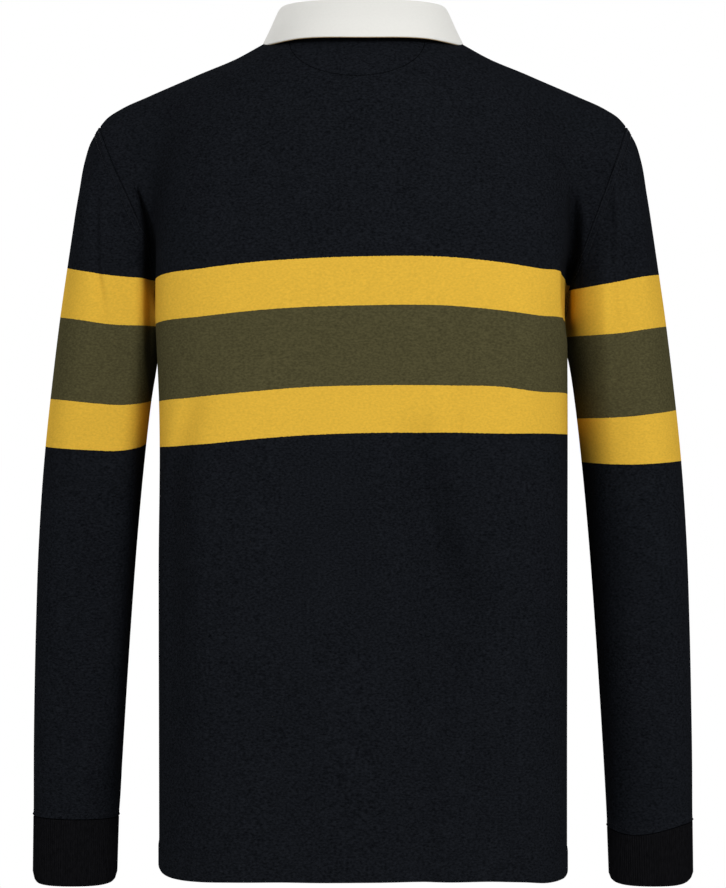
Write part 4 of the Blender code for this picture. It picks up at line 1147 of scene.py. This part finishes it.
foot = height_at("front", PLACKET_LENGTH - PLACKET_FOOT)
heights = spaced(-1, (-0.9985, 1), (-0.953, 22), (0.0, 80), (foot, 3), (0.990, 56), (0.999, 3))
half = spaced(0, (0.30, 14), (NECK_SHARE, 6), (0.76, 19), (0.985, 26), (0.996, 2), (1.0, 2))[1:]
slot = (share_of_x("front", heights) * SLOT_HALF)[:, None]
side = np.broadcast_to(half[1:], (len(heights), len(half) - 1))
shares = np.concatenate([-side[:, ::-1], -slot, slot, side], 1)
points, normal = panel("front", shares, heights)
points = hang(points, "front")
kept = np.ones((len(heights) - 1, shares.shape[1] - 1), bool)
kept[heights[:-1] >= foot - 1e-9, len(half) - 1] = False
relief = hem_relief(points) + side_roll(points)
stripe = stripe_depth(BODY_STRIPES["front"], points[..., 0], points[..., 2])
front = cloth("front_jersey", points, normal, JERSEY, relief, stripe=stripe, kept=kept)
finish_piece(front, striped_jersey, "navy_jersey", "front")
declare(front, points)
front_points, front_normal = points, normal

# %% [markdown]
# ## The sleeves
#
# Each sleeve is one piece, set into the armhole and closed by a seam on its inside. At the armhole both edges
# are folded towards the sleeve and sewn down with twin needles, which leaves a flat raised band beside the
# seam. A bent tube would pinch under the arm. Rings between an outer and an inner line start on the armhole
# itself and can't.

# %% Both sleeves
TWIN = (0.0019, 0.0075)  # the distances of the two rows of stitches from the armhole
INSIDE_ROLL, INSIDE_ROLL_WIDTH = 0.0008, 0.0016  # of the seam along the sleeve's inside
# the raised band of folded edges beside a seam: its height, reach and slope, the roll into the seam, and the
# height, place and width of the bead along its edge
SeamBand = namedtuple("SeamBand", "height reach slope roll bead bead_at bead_width")
ARMHOLE_BAND = SeamBand(0.00050, 0.0084, 0.0014, roll=0.0006, bead=0.00040, bead_at=0.0014, bead_width=0.0007)
CUFF_BAND = SeamBand(0.00010, 0.0060, 0.0012, roll=0.0008, bead=0.00080, bead_at=0.0015, bead_width=0.0009)


def seam_band(distance, band):
    """The relief of a seam's raised band at a distance from the seam."""
    raised = band.height * smooth((band.reach - distance) / band.slope)
    raised = raised - SEAM_ROLL * bell(distance, band.roll)
    return raised + band.bead * bell(distance - band.bead_at, band.bead_width)


def sleeve_relief(points):
    """The bands beside the armhole and the cuff, the furrows under the twin stitches, and the inside seam."""
    along = lengths(points)
    bands = seam_band(along, ARMHOLE_BAND) + seam_band(along[-1] - along, CUFF_BAND)
    furrows = sum(groove(along - distance) for distance in TWIN)
    return bands + furrows - INSIDE_ROLL * bell(to_sides(points), INSIDE_ROLL_WIDTH)


sleeve_grids = {}
turns = spaced(0, (0.06, 5), (math.pi, 50), (1.5 * math.pi, 66), (2 * math.pi - 0.06, 66), (2 * math.pi, 5))
turns = math.pi + turns
shares = spaced(0, (0.020, 28), (0.30, 80), (0.985, 106), (1.0, 20))
for row in SLEEVE_SIDES:
    points, normal = sleeve(row, shares, turns)
    lean = np.broadcast_to((1 - np.cos(turns)) / 2, points.shape[:2])
    stripe = stripe_depth(SLEEVE_STRIPES[row.name], lean, points[..., 2])
    relief = sleeve_relief(points)
    piece = cloth(f"sleeve_{row.name}_jersey", points, normal, JERSEY, relief, closed=True, stripe=stripe)
    finish_piece(piece, striped_jersey, "navy_jersey", f"sleeve_{row.name}")
    declare(piece, points)
    sleeve_grids[row.name] = (points, normal)

# %% [markdown]
# ## The cuffs
#
# One-by-one rib, folded double at the wrist. Each of its ridges is modelled, a little coarser than the real
# ones so that they show. The fold is round, so the end of the cuff is a soft rolled edge and not a cut one.
# A bump could draw the ribs, but real ones shade each other and break up the cuff's outline.

# %% Both cuffs
CUFF_END_Z, CUFF_MIDDLE = -0.7420, (0.2571, -0.0240)
CUFF_HALF_WIDTH, CUFF_HALF_DEPTH = 0.0366, 0.0300
CUFF_FULL = 0.0010  # how far its wall stands out over the end of the sleeve
CUFF_LIFT = {"left": (0.0012, 0.0014), "right": (0.0034, 0.0016)}  # of the fold, at its outer and inner side
LIFT_FROM, ROUND_FROM, FOLD_FROM = 0.80, 0.90, 0.955  # shares of a cuff where these start
CUFF_ROUND = 0.0030  # how far the fold draws in at its two sides
CUFF_RIBS, POINTS_PER_RIB, RIB_HEIGHT, CUFF_WALL = 110, 6, 0.00085, 0.0019
RIB_ROUNDNESS = 0.6  # of a ridge's profile: 1 is a plain wave, and less has fuller ridges
FOLD_TUCK = 0.98  # how much of the wall's half the fold rounds off, as a share squared


def cuff(row, shares, turns):
    """A cuff's surface, from the sleeve's end, share 0, to an ellipse at the wrist, 1, and its normals."""
    end = sleeve_surface(row, np.array([1.0]), turns)[0]
    x = row.side * (CUFF_MIDDLE[0] + CUFF_HALF_WIDTH * np.cos(turns))
    y = CUFF_MIDDLE[1] + CUFF_HALF_DEPTH * np.sin(turns)
    wrist = np.stack([x, y, np.full_like(turns, CUFF_END_Z)], -1)
    points = end + (wrist - end) * shares[:, None, None]
    lift = np.where(np.cos(turns) > 0, *CUFF_LIFT[row.name]) * np.cos(turns) ** 4
    points[..., 2] += lift * smooth((shares - LIFT_FROM) / (1 - LIFT_FROM))[:, None]
    draw = row.side * CUFF_ROUND * np.cos(turns) * np.abs(np.cos(turns)) ** 3
    points[..., 0] -= draw * smooth((shares - ROUND_FROM) / (1 - ROUND_FROM))[:, None]
    x, y = row.side * np.cos(turns) / CUFF_HALF_WIDTH, np.sin(turns) / CUFF_HALF_DEPTH
    out = np.stack([x, y, np.zeros_like(x)], -1)
    out = out / np.linalg.norm(out, axis=-1, keepdims=True)
    return points, np.broadcast_to(out, points.shape)


turns = math.pi + np.linspace(0, 2 * math.pi, CUFF_RIBS * POINTS_PER_RIB + 1)
shares = spaced(0.004, (0.05, 4), (FOLD_FROM, 7), (1.0, 4))
phase = np.cos(CUFF_RIBS * (turns - math.pi))
ridge = RIB_HEIGHT / 2 * (np.sign(phase) * np.abs(phase) ** RIB_ROUNDNESS - 1)
fold = np.clip((shares - FOLD_FROM) / (1 - FOLD_FROM), 0, 1)
tuck = -(CUFF_WALL / 2) * (1 - np.sqrt(1 - FOLD_TUCK * fold**2))
relief = ridge + tuck[:, None]
for row in SLEEVE_SIDES:
    points, normal = cuff(row, shares, turns)
    middle = points - normal * (CUFF_WALL / 2 - CUFF_FULL)
    piece = cloth(f"cuff_{row.name}_rib", middle, normal, CUFF_WALL, relief, closed=True, rim=0.8)
    finish_piece(piece, black_rib, "black_rib", f"cuff_{row.name}")
    declare(piece, points)

# %% [markdown]
# ## The collar
#
# Two layers of twill with an interlining, standing up from the neck seam, folded over and falling outside.
# The loose edge is a seam turned inside out and stitched, and the stitching draws it into small puckers. The
# collar is one profile of seven points, given at nine stations from the middle of the back to the front, so
# that stand, fold and leaf stay one piece.

# %% The collar
# share: from the middle of the back, 0, to the front, 1; the rest: heights over the neck seam and distances
# out from it, of the collar's foot, its fold and its loose edge; spread: of the points; bow: of the leaf
CollarStation = namedtuple("CollarStation", "share base_up fold_out fold_up edge_out edge_up spread bow")
COLLAR_STATIONS = (
    CollarStation(0.00, 0.0014, -0.0130, 0.0322, 0.0135, -0.0028, 0.000, bow=0.0012),
    CollarStation(0.20, 0.0014, -0.0115, 0.0320, 0.0135, -0.0026, 0.000, bow=0.0012),
    CollarStation(0.33, 0.0016, -0.0096, 0.0314, 0.0130, -0.0050, 0.000, bow=0.0008),
    CollarStation(0.42, 0.0018, -0.0080, 0.0308, 0.0122, -0.0052, 0.000, bow=0.0000),
    CollarStation(0.50, 0.0020, -0.0065, 0.0300, 0.0110, -0.0038, 0.000, bow=-0.0002),
    CollarStation(0.62, 0.0030, -0.0050, 0.0290, 0.0150, 0.0020, 0.001, bow=0.0000),
    CollarStation(0.75, 0.0046, -0.0040, 0.0270, 0.0225, -0.0058, 0.006, bow=0.0008),
    CollarStation(0.88, 0.0026, -0.0025, 0.0252, 0.0260, -0.0215, 0.022, bow=0.0012),
    CollarStation(1.00, 0.0014, -0.0010, 0.0240, 0.0265, -0.0380, 0.046, bow=0.0012),
)
# of the fold; between the two ends in front; and how far inside the neck seam the foot stands
COLLAR_FOLD_RADIUS, COLLAR_FRONT_GAP, COLLAR_BASE_IN = 0.0030, 0.0060, 0.0012
LEAF_SPREAD = 1.5  # how late down the leaf its points spread
COLLAR_STITCH = 0.0052  # from the loose edge to the row of stitches
PUCKER, PUCKER_REACH, PUCKER_LENGTH, PUCKER_SEED = 0.00085, 0.0080, 0.0060, 11
EDGE_FLAT = 0.0014  # how near the edge the puckers end
LEAF_SINK = 0.0002  # how much thinner the leaf is above its stitches, without the edge's turned seam


def collar(shares, steps):
    """The collar: columns from the front's middle round the back, rows from the neck seam, step 0, over the
    fold, 3, to the loose edge, 6, and the normals on the side that shows."""
    size = np.abs(shares)
    table = {name: column(COLLAR_STATIONS, name) for name in CollarStation._fields}
    at = {name: through(table["share"], table[name], size) for name in table}
    seam = neck_seam(math.pi * shares)
    depth = np.where(size < 0.5, NECK_BACK_Y, -NECK_FRONT_Y)
    outward = np.stack([np.sin(math.pi * shares) / NECK_HALF_WIDTH, np.cos(math.pi * shares) / depth], -1)
    outward /= np.linalg.norm(outward, axis=-1, keepdims=True)
    radius = COLLAR_FOLD_RADIUS
    fold_out, fold_up, edge_out, edge_up = at["fold_out"], at["fold_up"], at["edge_out"], at["edge_up"]
    out = (
        np.full_like(size, -COLLAR_BASE_IN), (fold_out - COLLAR_BASE_IN) / 2, fold_out - radius, fold_out,
        fold_out + radius, (fold_out + radius + edge_out) / 2 + at["bow"], edge_out,
    )
    up = (
        at["base_up"], fold_up / 2, fold_up - radius, fold_up,
        fold_up - radius, (fold_up - radius + edge_up) / 2 + at["bow"], edge_up,
    )
    knots = np.arange(len(out))
    out, up = through(knots, out, steps), through(knots, up, steps)
    leaf = np.clip((steps - 3) / 3, 0, 1)[:, None] ** LEAF_SPREAD
    sideways = np.sign(shares) * at["spread"] * leaf
    x = seam[:, 0] + outward[:, 0] * out + sideways
    points = np.stack([x, seam[:, 1] + outward[:, 1] * out, seam[:, 2] + up], -1)
    return points, normals(points, -1)


def uneven_wave(run, wavelength, seed, waves=7):
    """A wave of uneven length and height: a sum of sines near one wavelength, with seeded lengths."""
    random = np.random.default_rng(seed)
    pitch = wavelength * random.uniform(0.75, 1.4, waves)
    start = random.uniform(0, 2 * math.pi, waves)
    return np.sin(2 * math.pi * run[..., None] / pitch + start).sum(-1) / math.sqrt(waves)


end = 1 - COLLAR_FRONT_GAP / 2 / (math.pi * NECK_HALF_WIDTH)
shares = np.linspace(-end, end, 361)
steps = spaced(0, (2.2, 10), (3.8, 14), (5.0, 12), (5.94, 18), (6.0, 2))
points, normal = collar(shares, steps)
run = lengths(points)
to_edge = run[-1] - run
puckers = uneven_wave(widths(points)[-1], PUCKER_LENGTH, PUCKER_SEED)
relief = PUCKER * puckers * bell(to_edge, PUCKER_REACH) * (1 - bell(to_edge, EDGE_FLAT))
relief += groove(to_edge - COLLAR_STITCH) - LEAF_SINK * smooth((to_edge - COLLAR_STITCH) / 0.001)
relief *= steps[:, None] > 3  # on the leaf alone
collar_piece = cloth("collar_twill", points, normal, COLLAR_CLOTH, relief)
finish_piece(collar_piece, ecru_twill, "ecru_twill", "collar")
declare(collar_piece, points)
collar_points, collar_normal = points, normal

# %% [markdown]
# ## The placket
#
# Two bands of the collar's twill, laid over and under the edges of the front's slit, the upper one stitched
# along both sides. It is buttoned, and the buttonholes lie under the three buttons, so they aren't modelled.
# Both bands are laid on the front's own surface, so that they follow its curve.

# %% The placket's two bands
PLACKET_UPPER, PLACKET_UNDER, SEAM_GAP = 0.034, 0.030, 0.0003
PLACKET_TOP_GAP = 0.0125  # short of the neck seam, as a panel's height
PLACKET_STITCH, PLACKET_FURROW = 0.0022, 0.0010  # from the band's edge, and the furrow's width


def strip(half_width, heights, lift, columns):
    """A band down the middle of the front, lifted off it, and its normals."""
    across = np.linspace(-half_width, half_width, columns)
    shares = share_of_x("front", heights)[:, None] * across
    points, normal = panel("front", shares, heights)
    return points + normal * lift, normal


heights = spaced(height_at("front", PLACKET_LENGTH), (1 - PLACKET_TOP_GAP, 70))
lift = JERSEY / 2 + SEAM_GAP + TWILL / 2
placket_grids = {}
for name, width, side in (("upper", PLACKET_UPPER, 1), ("under", PLACKET_UNDER, -1)):
    points, normal = strip(width / 2, heights, side * lift, 25)
    relief = groove(to_sides(points) - PLACKET_STITCH, PLACKET_FURROW) if name == "upper" else 0.0
    piece = cloth(f"placket_{name}_twill", points, normal, TWILL, relief)
    finish_piece(piece, ecru_twill, "ecru_twill", f"placket_{name}")
    declare(piece, points)
    placket_grids[name] = (points, normal)

# %% [markdown]
# ## The half-moon
#
# It lies inside the back, a little off the wall, and takes the collar's rubbing. It is laid under the back's
# own surface column by column, so it follows the neck's curve.

# %% The half-moon inside the back
PATCH_HALF_WIDTH, PATCH_TOP, PATCH_DROP, PATCH_CORNER, PATCH_GAP = 0.060, 0.004, 0.046, 0.006, 0.0010
BESIDE = 0.004 * np.array([-1, 0, 1])  # shares at and beside a column, which its normals need
across = np.linspace(-0.985, 0.985, 61)
down = np.linspace(0, 1, 25)[:, None]
drop = PATCH_TOP + (PATCH_DROP - PATCH_TOP) * down * np.sqrt(1 - across**2) + PATCH_CORNER * down
heights = height_at("back", drop)
shares = NECK_SHARE * np.arcsin(across * PATCH_HALF_WIDTH / NECK_HALF_WIDTH) / QUARTER
columns = [panel("back", share + BESIDE, heights[:, j]) for j, share in enumerate(shares)]
points = np.stack([grid[:, 1] for grid, _ in columns], 1)
inward = np.stack([normal[:, 1] for _, normal in columns], 1)
inward = np.where((inward[..., 1] > 0)[..., None], -inward, inward)
points = points + inward * (JERSEY / 2 + PATCH_GAP + PATCH_CLOTH / 2)
patch = cloth("neck_patch_jersey", points, inward, PATCH_CLOTH)
finish_piece(patch, plain_jersey, "navy_jersey", "neck_patch")
declare(patch, points)

# %% [markdown]
# ## The buttons
#
# Rugby buttons are soft rubber, so that they don't hurt. Each is a plain dished disc with a raised rim, and
# it lies on the upper band as it does when it is buttoned. A profile swung round an axis gives just that.

# %% Three rubber buttons
BUTTON_RADIUS, BUTTON_THICKNESS, BUTTON_SIDES = 0.0075, 0.0030, 48
BUTTON_DROPS = (0.022, 0.082, 0.142)  # below the neck seam
BUTTON_PROFILE = (  # radius and height, as shares of the button's radius and thickness, from the middle out
    (0.000, 0.18), (0.380, 0.20), (0.560, 0.24), (0.640, 0.42), (0.760, 0.50), (0.900, 0.46), (0.985, 0.25),
    (1.000, 0.00), (0.985, -0.30), (0.930, -0.46), (0.850, -0.50), (0.000, -0.50),
)


def button(name, middle, out):
    """A turned disc: the profile swung round, then tilted so that its axis is the cloth's normal."""
    profile = np.array(BUTTON_PROFILE) * (BUTTON_RADIUS, BUTTON_THICKNESS)
    turns = np.linspace(0, 2 * math.pi, BUTTON_SIDES, endpoint=False)
    radius, height = profile[1:-1, 0, None], profile[1:-1, 1, None]
    rings = np.stack(np.broadcast_arrays(radius * np.cos(turns), radius * np.sin(turns), height), -1)
    rings = rings.reshape(-1, 3)
    vertices = np.concatenate([rings, [[0, 0, profile[0, 1]], [0, 0, profile[-1, 1]]]])
    j = np.arange(BUTTON_SIDES)
    k = (j + 1) % BUTTON_SIDES
    first = np.stack([0 * j + len(rings), j, k], -1)
    last = len(rings) - BUTTON_SIDES
    last = np.stack([0 * j + len(rings) + 1, last + k, last + j], -1)
    faces = np.concatenate([ring_triangles(len(profile) - 2, BUTTON_SIDES), first, last])
    turned = Vector(out).to_track_quat("Z", "Y").to_matrix()
    vertices = vertices @ np.array(turned).T + middle
    return mesh_object(name, vertices, faces)[0]


lift = JERSEY / 2 + SEAM_GAP + TWILL + SEAM_GAP + BUTTON_THICKNESS / 2
for number, drop in enumerate(BUTTON_DROPS, 1):
    near = height_at("front", drop) + np.array([-0.01, 0, 0.01])
    points, normal = strip(0.002, near, 0, 3)  # a small patch of the front, whose middle carries the button
    piece = button(f"button_{number}_rubber", points[1, 1] + normal[1, 1] * lift, normal[1, 1])
    finish_piece(piece, rubber, "ecru_rubber", f"button_{number}")

# %% [markdown]
# ## Sewing
#
# Twin rows beside each armhole, one row along the hem and one round the half-moon, a short slanted overlock
# on the cuff seams, and off-white rows on collar and placket. The half-moon's thread is near black, darker
# than the navy, partly as painted shade of its furrow. A thin tan line of thread along the collar's loose
# edge is painted shade of the edge's turned-under side.

# %% Stitches on the jersey
# a stitch's length, the gap to the next, the thread's radius, and how high it lies over the wall's middle
Stitch = namedtuple("Stitch", "length gap radius lift slant", defaults=(0.0,))
ARMHOLE_STITCH = Stitch(0.0026, 0.0009, 0.00036, JERSEY / 2 + ARMHOLE_BAND.height - 0.0003)
CUFF_STITCH = Stitch(0.0038, -0.0018, 0.00022, JERSEY / 2 + CUFF_BAND.height - 0.0002, slant=1.0)
CUFF_ROW = 0.0042  # of the overlock, above the cuff's seam
HEM_STITCH = Stitch(0.0026, 0.0009, 0.00036, JERSEY / 2 + 0.0001)
HALF_MOON_STITCH = Stitch(0.0034, 0.0002, 0.00036, 0.0001)  # its line lies on the wall's outside
for row in SLEEVE_SIDES:
    grid = sleeve_grids[row.name]
    lines = [stitch_line(*level_line(*grid, distance), *ARMHOLE_STITCH) for distance in TWIN]
    finish_piece(stitches(f"stitches_armhole_{row.name}", *lines), dark_thread, "navy_jersey")
    points, normal = grid[0][::-1], grid[1][::-1]
    line = stitch_line(*level_line(points, normal, CUFF_ROW), *CUFF_STITCH)
    finish_piece(stitches(f"stitches_cuff_{row.name}", line), overlock_thread, "black_rib")

grids = (back_points, back_normal), (front_points, front_normal)
lines = [stitch_line(*level_line(*grid, HEM_ROW), *HEM_STITCH) for grid in grids]
finish_piece(stitches("stitches_hem", *lines), hem_thread, "navy_jersey")

# the half-moon's near-black thread is partly painted shade of the furrow it lies in
line = stitch_line(*seen_from_behind(back, patch_line), *HALF_MOON_STITCH)
finish_piece(stitches("stitches_half_moon", line), half_moon_thread_painted_shade, "navy_jersey")

# %% Stitches on collar and placket
COLLAR_EDGE_SHADE_LINE = Stitch(0.0060, -0.0010, 0.00040, 0.0)
COLLAR_ROW_STITCH = Stitch(0.0026, 0.0007, 0.00024, COLLAR_CLOTH / 2 - 0.0002)
PLACKET_ROW_STITCH = Stitch(0.0026, 0.0007, 0.00022, TWILL / 2 - 0.0002)
# the tan line along the collar's loose edge is painted shade of its turned-under side, not a seam
edge = stitch_line(collar_points[-1], collar_normal[-1], *COLLAR_EDGE_SHADE_LINE)
finish_piece(stitches("stitches_collar_edge", edge), collar_edge_shade_thread, "ecru_twill")
row_line = level_line(collar_points[::-1], collar_normal[::-1], COLLAR_STITCH)
line = stitch_line(*row_line, *COLLAR_ROW_STITCH)
finish_piece(stitches("stitches_collar", line), pale_thread, "ecru_twill")

points, normal = (grid.transpose(1, 0, 2) for grid in placket_grids["upper"])
rows = [level_line(points[::way], normal[::way], PLACKET_STITCH) for way in (1, -1)]
lines = [stitch_line(*row_line, *PLACKET_ROW_STITCH) for row_line in rows]
finish_piece(stitches("stitches_placket", *lines), pale_thread, "ecru_twill")

# %% [markdown]
# ## Floor, light and camera
#
# The shirt hangs in a white studio at the height of somebody standing. The light is nearly even, from all
# round and from big soft panels behind and in front, so the folds show only as soft shades.

# %% Floor
FLOOR_Z, FLOOR_SIZE = -1.45, 5.0
bpy.ops.mesh.primitive_plane_add(size=FLOOR_SIZE, location=(0, 0, FLOOR_Z))
floor = bpy.context.object
floor.name = "floor"
material, tree, shader = new_material("studio_floor_pale")
place = node(tree, "TexCoord").outputs["Object"]
mottled = node(tree, "TexNoise", {"Vector": place, "Scale": 3.0, "Detail": 2.0}).outputs["Fac"]
shade = node(tree, "Math", (mottled, 0.03, 0.78), operation="MULTIPLY_ADD").outputs[0]
tree.links.new(shade, shader.inputs["Base Color"])
shader.inputs["Roughness"].default_value = 0.9
floor.data.materials.append(material)

# %% Light
AMBIENT = 0.50  # how bright the studio's walls are to the shirt; the backdrop itself is white, 1
world = bpy.data.worlds.new("studio")
bpy.context.scene.world = world
world.use_nodes = True
background = world.node_tree.nodes["Background"]
background.inputs["Color"].default_value = (1.0, 1.0, 1.0, 1.0)
tree = world.node_tree
seen = node(tree, "LightPath").outputs["Is Camera Ray"]
strength = node(tree, "Math", (seen, 1 - AMBIENT, AMBIENT), operation="MULTIPLY_ADD").outputs[0]
tree.links.new(strength, background.inputs["Strength"])

Lamp = namedtuple("Lamp", "name place aim size power")
LAMPS = (
    Lamp("key_behind", (-1.4, 2.5, 1.2), (0, 0, -0.25), 1.0, 40.0),
    Lamp("fill_behind", (1.1, 2.6, 1.0), (0, 0, -0.25), 1.0, 17.0),
    Lamp("key_front", (1.4, -2.5, 1.2), (0, 0, -0.25), 1.0, 40.0),
    Lamp("fill_front", (-1.1, -2.6, 1.0), (0, 0, -0.25), 1.0, 17.0),
)
for lamp in LAMPS:
    data = bpy.data.lights.new(lamp.name, "AREA")
    data.size, data.energy = lamp.size, lamp.power
    thing = bpy.data.objects.new(lamp.name, data)
    bpy.context.scene.collection.objects.link(thing)
    thing.location = lamp.place
    thing.rotation_euler = (Vector(lamp.aim) - Vector(lamp.place)).to_track_quat("-Z", "Y").to_euler()
print(len(LAMPS), "lamps")

# %% Camera
CAMERA_DISTANCE, CAMERA_Z = 2.9, -0.351
PIXELS_PER_METRE, IMAGE_HEIGHT = 1130.0, 888  # at the shirt's middle
data = bpy.data.cameras.new("camera")
data.sensor_width = 36.0
data.lens = PIXELS_PER_METRE * CAMERA_DISTANCE * data.sensor_width / IMAGE_HEIGHT
camera = bpy.data.objects.new("camera", data)
bpy.context.scene.collection.objects.link(camera)
camera.location = (0, CAMERA_DISTANCE, CAMERA_Z)
camera.rotation_euler = (QUARTER, 0, math.pi)
bpy.context.scene.camera = camera
bpy.context.scene.view_settings.view_transform = "Standard"
print("lens", round(data.lens, 1), "mm")
